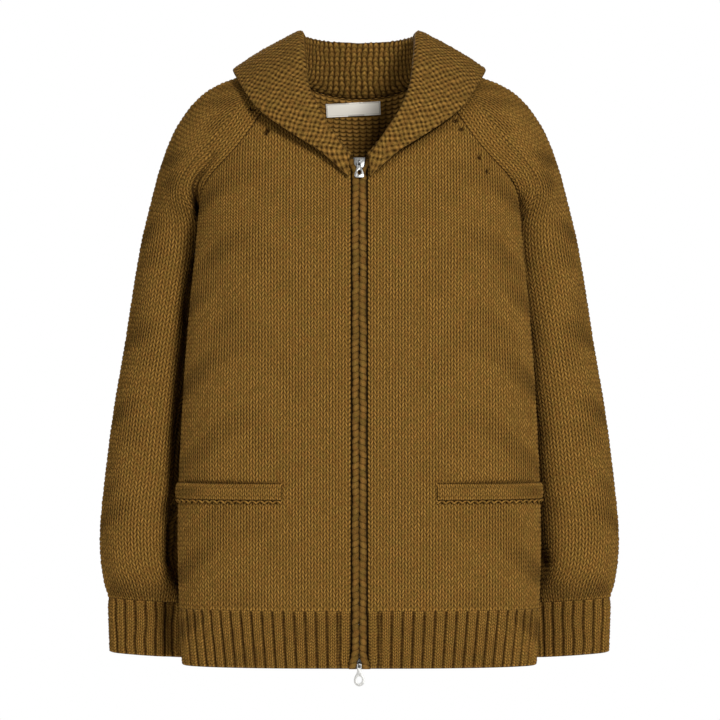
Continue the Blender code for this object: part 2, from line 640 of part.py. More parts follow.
def lifted_clear(points, skin, clearance):
    """Points that are nearer to the skin than the clearance, or under it, are moved out to it."""
    cleared = points.copy()
    for index, (point, need) in enumerate(zip(points, clearance)):
        nearest, normal, _, _ = skin.find_nearest(Vector(point))
        short = need - (Vector(point) - nearest).dot(normal)
        if short > 0:
            cleared[index] = point + np.array(normal) * short
    return cleared


def collar_sections(neckline, skin):
    """Middle surface of the left half of the collar: one section for each point of the neckline."""
    places = column(COLLAR_ROLLS, "place")
    fold = smooth(places, column(COLLAR_ROLLS, "fold"), neckline.place)
    edge = smooth(places, column(COLLAR_ROLLS, "edge"), neckline.place)
    bend = smooth(places, column(COLLAR_ROLLS, "bend"), neckline.place)[:, None]
    thickness = smooth(places, column(COLLAR_ROLLS, "wall"), neckline.place)
    foot = (neckline.outer + neckline.inner) / 2 + neckline.onward * SEAM_GAP
    rise = unit(fold - (foot + edge) / 2)
    over = edge - foot
    over = unit(over - rise * np.sum(over * rise, axis=1, keepdims=True))
    height = np.linalg.norm(fold - foot, axis=1, keepdims=True)
    stand = foot + softened(neckline.onward) * height * 0.30
    before, after = fold - over * bend - rise * bend * 1.2, fold + over * bend - rise * bend * 1.2
    crown = (after + edge) / 2 + over * bend * 0.5
    shape = np.stack([foot, stand, before, fold, after, crown, edge], axis=1)
    rows = np.stack([smooth(np.arange(7), section, COLLAR_READ) for section in shape])
    for step in range(len(COLLAR_READ)):
        if COLLAR_READ[step] > FOLD_STEP:
            rows[:, step] = lifted_clear(rows[:, step], skin, thickness / 2 + COLLAR_CLEARANCE)
    return rows, thickness


def build_collar(wool):
    """The shawl collar in one piece, from one end of the zip round the neck to the other."""
    neckline = Neckline(wool)
    skin = skin_of(wool.front[0], wool.back[0], wool.sleeve[0])
    rows, thickness = collar_sections(neckline, skin)
    whole = np.concatenate([mirrored(rows[:0:-1]), rows])
    half = np.concatenate([thickness[:0:-1], thickness])[:, None, None] / 2
    normals = grid_normals(whole)
    one, other = whole + normals * half, whole - normals * half
    feet = [line + neckline.onward * SEAM_GAP for line in (neckline.outer, neckline.inner)]
    feet = [np.concatenate([mirrored(line[:0:-1]), line]) for line in feet]
    one[:, 0], other[:, 0] = feet
    wall("collar", one, other, "bulky wool knit")


# ---- zip -------------------------------------------------------------------------------------------------
def front_surface(height, reach=0.0):
    """How far back the outer surface of the fronts lies, beside the middle plane."""
    angle = angle_at_reach(max(reach, 1e-6), height)
    return float(body_point(angle, height)[1])


def between_edges(grid, reach, height):
    """Height-by-height position of a front's skin beside the zip, read from its first two columns."""
    order = np.argsort(grid[:, 0, 2])
    near = [np.interp(height, grid[order, 0, 2], grid[order, 0, axis]) for axis in (0, 1)]
    far = [np.interp(height, grid[order, 1, 2], grid[order, 1, axis]) for axis in (0, 1)]
    part = (reach - near[0]) / (far[0] - near[0])
    return near[1] + (far[1] - near[1]) * part


def tape_front(wool, reach, height):
    """Front face of the zip tape: it lies on the inside of the front, or of its hem rib."""
    if height >= RIB_TOP:
        return between_edges(wool.front[1], reach, height) + SEAM_GAP
    angle = angle_at_reach(FRONT_EDGE, height)
    slope = between_edges(wool.front[1], reach, RIB_TOP) - between_edges(wool.front[1], FRONT_EDGE, RIB_TOP)
    return float(body_point(angle, height)[1]) + RIB_SINK + RIB_WALL + SEAM_GAP + slope


def build_tapes(wool):
    """Woven tapes behind the fronts' edges, and the closed chain of teeth between them."""
    panel_heights = [z for z in wool.front[0][1:, 0, 2] if z < ZIP_TOP - HALF_GAP]
    heights = [HEM_LEVEL + 0.0015, RIB_TOP] + panel_heights + [ZIP_TOP - HALF_GAP]
    front = np.array([[(x, tape_front(wool, x, z), z) for x in (TAPE_INNER, TAPE_OUTER)] for z in heights])
    build_pair("zip_tape", front, front + np.array([0, TAPE_THICKNESS, 0]), "zip tape")
    low, high = SLIDER_BOTTOM + SLIDER_LENGTH * 0.42, SLIDER_TOP - SLIDER_LENGTH * 0.42
    heights = [low] + [z for z in heights if low + 0.004 < z < high - 0.004] + [high]
    front = np.array([[(x, tape_front(wool, TAPE_INNER, z) + CHAIN_FRONT, z)
                       for x in (-CHAIN_HALF_WIDTH, CHAIN_HALF_WIDTH)] for z in heights])
    wall("zip_chain", front, front + np.array([0, CHAIN_BACK - CHAIN_FRONT, 0]), "nickel plated zinc")


def build_edge_cords():
    """Rolled knit cords that close over the zip, parting round the lower slider at the hem."""
    low = np.linspace(HEM_LEVEL, CORD_PART, 7)
    heights = np.concatenate([low, np.linspace(CORD_PART, CORD_TOP, 14)[1:]])
    turn = np.radians(np.arange(0, 360, 45) + 22.5)
    rows = []
    for height in heights:
        down = (CORD_PART - height) / (CORD_PART - HEM_LEVEL)
        lift, spread = soft_step(down / 0.45), soft_step((down - 0.45) / 0.55)
        x = CORD_REACH + CORD_SPREAD * spread
        y = front_surface(height, CORD_REACH) - CORD_PROUD + CORD_HALF_DEPTH - CORD_LIFT * lift
        half_width = CORD_HALF_WIDTH + CORD_FLARE * spread
        rows.append(np.stack([x + half_width * np.cos(turn), y + CORD_HALF_DEPTH * np.sin(turn),
                              np.full(8, height)], axis=1))
    rods = np.array(rows)
    for name, points in (("edge_cord_left", rods), ("edge_cord_right", mirrored(rods))):
        form = bmesh.new()
        rings = [[form.verts.new(point) for point in ring] for ring in points]
        for lower, upper in zip(rings, rings[1:]):
            for side in range(8):
                after = (side + 1) % 8
                form.faces.new([lower[side], lower[after], upper[after], upper[side]])
        form.faces.new(rings[0])
        form.faces.new(rings[-1])
        add_object(name, mesh_of(name, form), "bulky wool knit")


def block(form, low, high, narrow=None):
    """A box in a bmesh; narrow is the half width of its lower end where that differs."""
    corners = []
    for z in (low[2], high[2]):
        half = None if narrow is None or z == high[2] else narrow
        for x, y in ((low[0], low[1]), (high[0], low[1]), (high[0], high[1]), (low[0], high[1])):
            corners.append(form.verts.new((x if half is None else math.copysign(half, x), y, z)))
    for face in ((0, 3, 2, 1), (4, 5, 6, 7), (0, 1, 5, 4), (1, 2, 6, 5), (2, 3, 7, 6), (3, 0, 4, 7)):
        form.faces.new([corners[index] for index in face])
    return corners


def combine(target, form, name, operation):
    """Join another shape onto an object (UNION) or cut it out of it (DIFFERENCE), with a hidden helper."""
    helper = bpy.data.objects.new(name, mesh_of(name, form))
    bpy.context.scene.collection.objects.link(helper)
    helper.hide_render = True
    helper.display_type = "WIRE"
    helper.parent = target
    step = target.modifiers.new(name, "BOOLEAN")
    step.operation, step.solver, step.object = operation, "EXACT", helper


def slider_plate(front, inside):
    """One plate of a slider between two depths from the tape, its wide end up."""
    form = bmesh.new()
    block(form, (-SLIDER_HALF_WIDTH, front, -SLIDER_LENGTH), (SLIDER_HALF_WIDTH, inside, 0), SLIDER_NARROW)
    return form


def crown_form(axis_forward, axis_down):
    """The loop that holds the pull: two legs and a half ring, as wide as CROWN_HALF_WIDTH each way."""
    form = bmesh.new()
    arc = np.radians(np.linspace(0, 180, 9))
    root = PLATE_FRONT + JOIN_DEPTH
    outline = []
    for radius, order in ((CROWN_OUTSIDE, 1), (CROWN_INSIDE, -1)):
        curve = [(-axis_forward - radius * math.sin(a), -axis_down + radius * math.cos(a)) for a in arc]
        line = [(root, curve[0][1])] + curve + [(root, curve[-1][1])]
        outline += line[::order]
    sides = [[form.verts.new((x, y, z)) for y, z in outline] for x in (-CROWN_HALF_WIDTH, CROWN_HALF_WIDTH)]
    count, half = len(outline), len(outline) // 2
    for step in range(count):
        after = (step + 1) % count
        form.faces.new([sides[0][step], sides[0][after], sides[1][after], sides[1][step]])
    for side in sides:
        for step in range(half - 1):
            form.faces.new([side[step], side[step + 1], side[count - 2 - step], side[count - 1 - step]])
    return form


class Slider:
    """A zip slider and its pull, set at one height on the middle plane; turned is -1 when it points down."""

    def __init__(self, wool, name, wide_end, turned):
        self.name, self.turned = name, turned
        middle = wide_end - turned * SLIDER_LENGTH / 2
        tape_y = tape_front(wool, TAPE_INNER, middle)
        above, below = middle + SLIDER_LENGTH / 3, middle - SLIDER_LENGTH / 3
        step = tape_front(wool, TAPE_INNER, above) - tape_front(wool, TAPE_INNER, below)
        self.lean = -math.atan2(step, above - below)
        self.place = Vector((0, tape_y, middle))
        self.hinge_down = SLIDER_LENGTH * 0.50
        self.hinge_forward = tape_y - (front_surface(middle, CORD_REACH) - HINGE_FORWARD)

    def carrier(self):
        """An empty on the chain, leaning as the chain does, with the slider's wide end up its own Z."""
        empty = bpy.data.objects.new(self.name + "_place", None)
        bpy.context.scene.collection.objects.link(empty)
        empty.location = self.place
        empty.rotation_euler = (self.lean * self.turned, 0 if self.turned > 0 else math.pi, 0)
        return empty

    def build_body(self):
        """Front plate, back plate, the wedge between them and the crown, as one casting."""
        plate = mesh_of("slider_plate", slider_plate(PLATE_FRONT, PLATE_INSIDE))
        body = add_object(self.name, plate, "nickel plated zinc")
        body.parent = self.carrier()
        body.location = (0, 0, SLIDER_LENGTH / 2)
        wedge = bmesh.new()
        block(wedge, (-WEDGE_HALF_WIDTH, PLATE_INSIDE - JOIN_DEPTH, -SLIDER_LENGTH / 3),
              (WEDGE_HALF_WIDTH, BACK_INSIDE + JOIN_DEPTH, -JOIN_DEPTH))
        combine(body, wedge, self.name + "_wedge", "UNION")
        combine(body, slider_plate(BACK_INSIDE, BACK_OUTSIDE), self.name + "_back_plate", "UNION")
        combine(body, crown_form(self.hinge_forward, self.hinge_down), self.name + "_crown", "UNION")

    def hinge(self):
        """The pull's axis in world coordinates."""
        turn = self.lean
        forward, up = -self.hinge_forward, self.turned * (SLIDER_LENGTH / 2 - self.hinge_down)
        return self.place + Vector((0, forward * math.cos(turn) - up * math.sin(turn),
                                    forward * math.sin(turn) + up * math.cos(turn)))


def pull_plate(outline):
    """A flat pull in its own frame, its pin on the X axis and its body hanging down -Z."""
    half = PULL_THICKNESS / 2
    form = bmesh.new()
    front = [form.verts.new((x, -half, z)) for x, z in outline]
    back = [form.verts.new((x, half, z)) for x, z in outline]
    form.faces.new(front)
    form.faces.new(back[::-1])
    for index in range(len(outline)):
        after = (index + 1) % len(outline)
        form.faces.new([front[index], back[index], back[after], front[after]])
    return mesh_of("pull", form)


def rounded_outline(knots, count):
    """Right half of a pull from (half width, distance down) knots, and its mirror image, as one outline."""
    knots = np.array(knots)
    lengths = np.concatenate([[0], np.cumsum(np.linalg.norm(np.diff(knots, axis=0), axis=1))])
    half = smooth(lengths, knots, np.linspace(0, lengths[-1], count))
    right = [(max(x, 0.0), -z) for x, z in half]
    left = [(-x, z) for x, z in right[::-1] if x > 1e-5]
    return right + left


def oval_form(half_width, half_height, centre_down, sides=16):
    """An upright oval cylinder along Y, for cutting the hole of a pull."""
    form = bmesh.new()
    turn = np.radians(np.arange(sides) * 360 / sides)
    ends = [[form.verts.new((half_width * math.cos(a), y, -centre_down + half_height * math.sin(a)))
             for a in turn] for y in (-CUT_REACH, CUT_REACH)]
    form.faces.new(ends[0])
    form.faces.new(ends[1])
    for side in range(sides):
        after = (side + 1) % sides
        form.faces.new([ends[0][side], ends[0][after], ends[1][after], ends[1][side]])
    return form


# Outlines of the pulls as (half width, distance below the pin), and their finger holes as (half width, half
# height, distance below the pin).
BELL = [(0.0026, -0.0007), (0.0026, 0.0040), (0.0030, 0.0075), (0.0042, 0.0115), (0.0052, 0.0145),
        (0.0054, 0.0162), (0.0047, 0.0175), (0.0030, 0.0181), (0.0, 0.0183)]
DROP = [(0.0026, -0.0007), (0.0025, 0.0045), (0.0026, 0.0085), (0.0040, 0.0115), (0.0056, 0.0148),
        (0.0061, 0.0180), (0.0053, 0.0214), (0.0030, 0.0238), (0.0, 0.0246)]
BELL_HOLE, DROP_HOLE = (0.0022, 0.0030, 0.0120), (0.0031, 0.0040, 0.0172)


def build_pull(name, hinge, lean, knots, hole):
    """A flat metal pull on its pin: the crown goes through its window, the lower hole is for a finger."""
    pull = add_object(name, pull_plate(rounded_outline(knots, 17)), "nickel plated zinc")
    pull.location = hinge
    pull.rotation_euler = (lean, 0, 0)
    window = bmesh.new()
    block(window, (-WINDOW_HALF_WIDTH, -CUT_REACH, -PIN_SIZE / 2 - WINDOW_LENGTH),
          (WINDOW_HALF_WIDTH, CUT_REACH, -PIN_SIZE / 2))
    combine(pull, window, name + "_window", "DIFFERENCE")
    combine(pull, oval_form(*hole), name + "_hole", "DIFFERENCE")


def build_zip(wool):
    """Tapes, chain, the two sliders and their pulls."""
    build_tapes(wool)
    top = Slider(wool, "slider_top", SLIDER_TOP, 1)
    top.build_body()
    bottom = Slider(wool, "slider_bottom", SLIDER_BOTTOM, -1)
    bottom.build_body()
    build_pull("pull_top", top.hinge(), top.lean, BELL, BELL_HOLE)
    build_pull("pull_bottom", bottom.hinge(), 0.0, DROP, DROP_HOLE)


# ---- pockets and label -----------------------------------------------------------------------------------
def read_grid(grid, rows, columns):
    """Points of a grid between its own, at these fractional rows and columns."""
    rows, columns = np.meshgrid(rows, columns, indexing="ij")
    low_row, low_col = np.floor(rows).astype(int), np.floor(columns).astype(int)
    up, along = (rows - low_row)[..., None], (columns - low_col)[..., None]
    next_row = np.minimum(low_row + 1, grid.shape[0] - 1)
    next_col = np.minimum(low_col + 1, grid.shape[1] - 1)
    return ((grid[low_row, low_col] * (1 - along) + grid[low_row, next_col] * along) * (1 - up)
            + (grid[next_row, low_col] * (1 - along) + grid[next_row, next_col] * along) * up)


def rows_at(grid, heights):
    """Fractional rows of a grid at these heights."""
    return np.interp(heights, grid[:, 3, 2], np.arange(grid.shape[0]))


def build_pockets(wool):
    """A welt outside each pocket's mouth and the pocket's inner layer behind the front."""
    outer, inner = wool.front
    columns = np.unique(np.concatenate([[POCKET_FIRST, POCKET_LAST],
                                        np.arange(math.ceil(POCKET_FIRST), POCKET_LAST)]))
    normals = grid_normals(outer)
    rows = rows_at(outer, [WELT_BOTTOM, WELT_TOP])
    points, out = read_grid(outer, rows, columns), unit(read_grid(normals, rows, columns))
    build_pair("pocket_welt", points + out * (SEAM_GAP + WELT_THICKNESS), points + out * SEAM_GAP,
               "bulky wool knit")
    bag_rows = rows_at(inner, [POCKET_FLOOR, -0.5600, -0.5150, WELT_TOP - 0.002])
    points, out = read_grid(inner, bag_rows, columns), unit(read_grid(normals, bag_rows, columns))
    near, far = points - out * SEAM_GAP, points - out * (SEAM_GAP + POCKET_BAG)
    build_pair("pocket_bag", near, far, "bulky wool knit")


def build_label(wool):
    """A blank woven label on the inside of the back, below the neck."""
    skin = skin_of(wool.back[1])
    tilt = math.radians(LABEL_TILT)
    rows = []
    for up in (-0.5, 0.5):
        line = []
        for across in np.linspace(-0.5, 0.5, 9):
            dx, dz = across * LABEL_SIZE[0], up * LABEL_SIZE[1]
            x = LABEL_CENTRE[0] + dx * math.cos(tilt) - dz * math.sin(tilt)
            z = LABEL_CENTRE[1] + dx * math.sin(tilt) + dz * math.cos(tilt)
            hit, _, _, _ = skin.ray_cast(Vector((x, 0, z)), Vector((0, 1, 0)))
            line.append((x, hit.y - SEAM_GAP, z))
        rows.append(line)
    back = np.array(rows)
    wall("label", back, back - np.array([0, LABEL_THICKNESS, 0]), "woven label")


def main():
    """Build the whole cardigan."""
    for old in list(bpy.data.objects):
        bpy.data.objects.remove(old, do_unlink=True)
    wool = Wool()
    build_panels(wool)
    build_hem()
    build_cuffs()
    build_collar(wool)
    build_edge_cords()
    build_zip(wool)
    build_pockets(wool)
    build_label(wool)


main()
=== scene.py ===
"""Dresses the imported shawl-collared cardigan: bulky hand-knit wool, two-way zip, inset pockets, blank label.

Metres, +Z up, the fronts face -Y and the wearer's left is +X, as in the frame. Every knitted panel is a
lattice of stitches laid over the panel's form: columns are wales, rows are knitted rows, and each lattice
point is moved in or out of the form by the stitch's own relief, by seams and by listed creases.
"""
import logging
import math
from dataclasses import dataclass, field
from enum import Enum
from functools import partial
from typing import Callable, NamedTuple, Sequence

import bmesh
import bpy
import numpy as np
from bpy.types import ID, Material, Mesh, Node, NodeSocket, NodeTree, Object
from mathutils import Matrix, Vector
from mathutils.bvhtree import BVHTree


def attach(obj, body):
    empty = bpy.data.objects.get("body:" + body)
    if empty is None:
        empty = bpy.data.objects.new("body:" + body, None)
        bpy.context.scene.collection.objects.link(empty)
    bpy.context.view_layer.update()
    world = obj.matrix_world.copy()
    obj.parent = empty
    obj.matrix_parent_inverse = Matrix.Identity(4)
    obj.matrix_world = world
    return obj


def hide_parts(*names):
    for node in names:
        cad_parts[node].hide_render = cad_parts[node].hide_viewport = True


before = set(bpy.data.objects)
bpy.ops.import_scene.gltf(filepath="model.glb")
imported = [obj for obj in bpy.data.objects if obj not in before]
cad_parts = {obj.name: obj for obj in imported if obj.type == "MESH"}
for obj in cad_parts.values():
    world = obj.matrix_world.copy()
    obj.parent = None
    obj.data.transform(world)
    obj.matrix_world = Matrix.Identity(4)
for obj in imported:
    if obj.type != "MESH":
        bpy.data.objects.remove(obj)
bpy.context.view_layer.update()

Array = np.ndarray
log = logging.getLogger("cardigan")

# ---- driving sizes, as the solids have them --------------------------
WALL = 0.0040
RIB_WALL, RIB_RISE = 0.0030, 0.0018
COLLAR_WALL = 0.0046
COLLAR_CLEARANCE = 0.0008
SEAM_GAP = 0.0003
HALF_GAP = SEAM_GAP / 2
OVERLAP = 0.0001                # sewn edges of the knitting reach this far into each other
JOIN_LAP = 0.0009               # and ribs reach this far up into the panels
GATHERED = 0.86                 # share of its full width that a sleeve keeps where it is gathered in

HEM_LEVEL, RIB_TOP, ARMPIT_LEVEL = -0.6705, -0.6060, -0.2000
FRONT_SHOULDER, BACK_SHOULDER, BACK_NECK_DIP = -0.0020, 0.0080, 0.0245
ZIP_TOP = -0.0930
BODY_ROUNDNESS = 2.6
SIDE_SEAM = 108.0
RIB_PITCH, CUFF_PITCH = 0.0120, 0.0118
FRONT_EDGE, PLAIN_BAND = 0.0092, 0.0150

CORD_REACH, CORD_HALF_WIDTH, CORD_HALF_DEPTH = 0.0046, 0.0041, 0.0021
CORD_PROUD, CORD_TOP, CORD_PART = 0.0012, -0.1075, -0.6300
CORD_SPREAD, CORD_LIFT, CORD_FLARE = 0.0030, 0.0036, 0.0006

WELT_THICKNESS, WELT_TOP, WELT_BOTTOM = 0.0034, -0.4615, -0.4805
POCKET_FIRST, POCKET_LAST, FRONT_COLUMNS = 3.6, 10.9, 14
POCKET_FLOOR, POCKET_BAG = -0.6045, 0.0022

LABEL_CENTRE, LABEL_SIZE = (-0.0070, -0.0295), (0.0635, 0.0155)
LABEL_THICKNESS, LABEL_TILT = 0.0007, 3.0

TAPE_INNER, TAPE_OUTER, TAPE_THICKNESS = 0.0031, 0.0185, 0.0010
CHAIN_HALF_WIDTH, CHAIN_FRONT, CHAIN_BACK = 0.0028, -0.0007, 0.0017
SLIDER_LENGTH, SLIDER_TOP, SLIDER_BOTTOM = 0.0120, -0.0940, -0.6705


class Level(NamedTuple):
    """One level of the body's oval; taper is how much narrower it is behind its front corners."""

    height: float
    half_width: float
    front_depth: float
    back_depth: float
    taper: float


class SeamAngle(NamedTuple):
    """Where a raglan seam crosses a level."""

    height: float
    degrees: float


class NeckPoint(NamedTuple):
    """Where the front neckline crosses a level."""

    height: float
    reach: float


class Section(NamedTuple):
    """One section of the sleeve: two Bezier curves, front to outer and outer to back."""

    place: float
    under: tuple
    outer: tuple
    front_pull: tuple
    front_ease: tuple
    back_pull: tuple
    back_ease: tuple


class Roll(NamedTuple):
    """One section of the collar, which folds over at fold and falls to edge."""

    place: float
    fold: tuple
    edge: tuple
    bend: float
    wall: float


BODY_LEVELS = [
    Level(-0.6705, 0.2090, 0.0960, 0.0900, 0.10), Level(-0.6060, 0.2120, 0.1040, 0.0970, 0.11),
    Level(-0.5200, 0.2140, 0.1080, 0.1000, 0.13), Level(-0.4000, 0.2100, 0.1080, 0.1010, 0.15),
    Level(-0.3000, 0.2040, 0.1070, 0.1020, 0.18), Level(-0.2000, 0.1950, 0.1050, 0.1030, 0.21),
    Level(-0.1340, 0.1880, 0.1010, 0.1010, 0.18), Level(-0.0860, 0.1760, 0.0920, 0.0960, 0.14),
    Level(-0.0440, 0.1510, 0.0760, 0.0860, 0.10), Level(-0.0020, 0.1210, 0.0530, 0.0720, 0.06),
    Level(0.0120, 0.1090, 0.0430, 0.0600, 0.05),
]
FRONT_RAGLAN = [
    SeamAngle(-0.2000, 108.0), SeamAngle(-0.1600, 91.0), SeamAngle(-0.1210, 69.5),
    SeamAngle(-0.0860, 51.5), SeamAngle(-0.0440, 43.8), SeamAngle(-0.0020, 39.7),
]
BACK_RAGLAN = [
    SeamAngle(-0.2000, 108.0), SeamAngle(-0.1500, 121.0), SeamAngle(-0.1000, 129.5),
    SeamAngle(-0.0500, 135.5), SeamAngle(0.0080, 139.0),
]
FRONT_NECKLINE = [
    NeckPoint(-0.0930, 0.0105), NeckPoint(-0.0730, 0.0310), NeckPoint(-0.0500, 0.0520),
    NeckPoint(-0.0260, 0.0690), NeckPoint(-0.0020, 0.0775),
]
SLEEVE_SECTIONS = [
    Section(-1.00, (0.1985, 0.0440, -0.6035), (0.2905, 0.0420, -0.5975),
            (0, -0.034, 0), (0, -0.034, 0), (0, 0.034, 0), (0, 0.034, 0)),
    Section(-0.94, (0.1962, 0.0450, -0.5800), (0.2970, 0.0425, -0.5730),
            (0, -0.066, 0), (0, -0.066, 0), (0, 0.064, 0), (0, 0.064, 0)),
    Section(-0.84, (0.1925, 0.0470, -0.5400), (0.3005, 0.0430, -0.5320),
            (0, -0.078, 0), (0, -0.078, 0), (0, 0.075, 0), (0, 0.075, 0)),
    Section(-0.62, (0.1840, 0.0500, -0.4500), (0.2925, 0.0450, -0.4400),
            (0, -0.080, 0), (0, -0.080, 0), (0, 0.077, 0), (0, 0.077, 0)),
    Section(-0.39, (0.1720, 0.0520, -0.3600), (0.2795, 0.0480, -0.3470),
            (0, -0.080, 0), (0, -0.081, 0), (0, 0.080, 0), (0, 0.080, 0)),
    Section(-0.17, (0.1620, 0.0520, -0.2700), (0.2620, 0.0500, -0.2540),
            (0.010, -0.078, 0), (0, -0.082, 0), (0, 0.079, 0), (0, 0.080, 0)),
    Section(0.00, (0.1485, 0.0420, -0.2000), (0.2520, 0.0450, -0.1830),
            (0.032, -0.060, 0), (0, -0.070, 0), (0.010, 0.070, 0), (0, 0.067, 0)),
    Section(0.20, (0, 0, 0), (0.2430, 0.0400, -0.1480),
            (0.031, -0.047, 0), (0, -0.062, 0), (0.022, 0.048, 0), (0, 0.055, 0)),
    Section(0.40, (0, 0, 0), (0.2310, 0.0340, -0.1020),
            (0.034, -0.010, 0.002), (0, -0.052, -0.004), (0.046, 0.024, 0), (0, 0.046, 0)),
    Section(0.58, (0, 0, 0), (0.2120, 0.0270, -0.0545),
            (0.038, 0.008, 0.008), (0, -0.044, -0.005), (0.046, 0.008, 0.006), (0, 0.036, 0)),
    Section(0.80, (0, 0, 0), (0.1700, 0.0150, -0.0090),
            (0.030, 0.007, 0.016), (0, -0.034, -0.004), (0.034, 0.001, 0.014), (0, 0.030, 0)),
    Section(0.90, (0, 0, 0), (0.1300, 0.0060, 0.0060),
            (0.016, 0.012, 0.014), (0, -0.024, -0.001), (0.018, -0.008, 0.012), (0, 0.024, 0)),
    Section(1.00, (0, 0, 0), (0.0930, 0.0000, 0.0140),
            (0.006, 0.014, 0.010), (0, -0.015, 0), (0.006, -0.014, 0.004), (0, 0.015, 0)),
]
CUFF_END = Section(-1.1, (0.2000, 0.0425, -0.6663), (0.2885, 0.0405, -0.6605),
                   (0, -0.032, 0), (0, -0.032, 0), (0, 0.032, 0), (0, 0.032, 0))
COLLAR_ROLLS = [
    Roll(0.00, (0.0000, 0.0830, 0.0460), (0.0000, 0.1040, -0.0280), 0.0052, COLLAR_WALL),
    Roll(0.15, (0.0400, 0.0720, 0.0475), (0.0600, 0.1010, -0.0270), 0.0052, COLLAR_WALL),
    Roll(0.29, (0.0645, 0.0400, 0.0505), (0.1120, 0.0720, -0.0150), 0.0052, COLLAR_WALL),
    Roll(0.42, (0.0655, 0.0000, 0.0515), (0.1430, 0.0160, 0.0110), 0.0052, COLLAR_WALL),
    Roll(0.56, (0.0635, -0.0460, 0.0220), (0.1370, -0.0340, -0.0050), 0.0052, COLLAR_WALL),
    Roll(0.70, (0.0565, -0.0780, -0.0180), (0.1120, -0.0780, -0.0400), 0.0050, COLLAR_WALL),
    Roll(0.82, (0.0400, -0.0950, -0.0500), (0.0715, -0.0960, -0.0690), 0.0046, 0.0042),
    Roll(0.91, (0.0255, -0.1018, -0.0725), (0.0450, -0.1016, -0.0855), 0.0042, 0.0038),
    Roll(1.00, (0.0110, -0.1036, -0.0925), (0.0122, -0.1034, -0.1150), 0.0032, 0.0030),
]

FINE_ROWS, FINE_COLUMNS = 100, 121      # how finely the forms are worked out before the stitches are laid
MIDDLE = FINE_COLUMNS // 2
BAND_ROWS = 24                  # rows of a rib band's form
LEVEL_STEPS, CURVE_STEPS = 241, 90      # steps along a body level, and along half a sleeve section
COLLAR_ROWS = 241
SEAM_EASE = 0.012               # outward directions turn into a seam's own over this distance


# ---- small tools -----------------------------------------------------
def smooth(knots: Sequence, values: Sequence, at: Array) -> Array:
    """A smooth curve through values at knots; each knot's slope is the mean of its two chords.

    Args:
        knots: rising places along the curve.
        values: a number or a point for each knot.
        at: where the curve is read.

    Returns:
        The curve's values, with the shape of at and then that of one value.
    """
    knots, values = np.asarray(knots, float), np.asarray(values, float)
    flat = values.reshape(len(knots), -1)
    chords = np.diff(flat, axis=0) / np.diff(knots)[:, None]
    slopes = np.vstack([chords[:1], (chords[1:] + chords[:-1]) / 2, chords[-1:]])
    at = np.clip(np.asarray(at, float), knots[0], knots[-1])
    low = np.clip(np.searchsorted(knots, at, side="right") - 1, 0, len(knots) - 2)
    span = (knots[low + 1] - knots[low])[..., None]
    part = (at - knots[low])[..., None] / span
    value_part = flat[low] * (2 * part**3 - 3 * part**2 + 1) + flat[low + 1] * (3 * part**2 - 2 * part**3)
    slope_part = slopes[low] * (part**3 - 2 * part**2 + part) + slopes[low + 1] * (part**3 - part**2)
    return (value_part + slope_part * span).reshape(at.shape + values.shape[1:])


def curve(table: Sequence, name: str, at: Array) -> Array:
    """One named column of a table, read as a smooth curve over its first column."""
    return smooth([row[0] for row in table], [getattr(row, name) for row in table], at)


def unit(vectors: Array) -> Array:
    """The same directions at length one."""
    return vectors / np.maximum(np.linalg.norm(vectors, axis=-1, keepdims=True), 1e-12)


def soft_step(value: Array) -> Array:
    """0 below 0, 1 above 1, and smooth between."""
    value = np.clip(value, 0, 1)
    return value * value * (3 - 2 * value)


def mirrored(points: Array) -> Array:
    """The same points or directions on the other side of the body."""
    return points * np.array([-1.0, 1.0, 1.0])


def scatter(first: Array, second: Array, seed: float) -> Array:
    """An even spread of numbers from -1 to 1, the same each run: the far digits of a large sine."""
    value = np.sin(first * 12.9898 + second * 78.233 + seed * 37.719) * 43758.5453
    return 2 * (value - np.floor(value)) - 1


def lengths_along(points: Array) -> Array:
    """Running length of cloth along each row of a grid of points, from 0."""
    steps = np.linalg.norm(np.diff(points, axis=1), axis=2)
    return np.concatenate([np.zeros((len(points), 1)), np.cumsum(steps, axis=1)], axis=1)


def read_rows(wanted: Array, known: Array, values: Array) -> Array:
    """Row by row linear reading: each row has its own rising places, all from 0 to 1.

    Args:
        wanted: places to read, one row of them for each row.
        known: rising places of the values.
        values: numbers or points at those places.

    Returns:
        The values at the wanted places. Each row is shifted by twice its number, so one call reads them all.
    """
    shift = 2.0 * np.arange(len(known))[:, None]
    flat = values.reshape(known.size, -1)
    places = (np.broadcast_to(wanted, (len(known), wanted.shape[-1])) + shift).ravel()
    read = [np.interp(places, (known + shift).ravel(), flat[:, axis]) for axis in range(flat.shape[1])]
    return np.stack(read, axis=-1).reshape((len(known), wanted.shape[-1]) + values.shape[2:])


def grid_normals(grid: Array) -> Array:
    """Directions square to a grid: its columns' direction crossed with its rows'."""
    return unit(np.cross(np.gradient(grid, axis=1), np.gradient(grid, axis=0)))


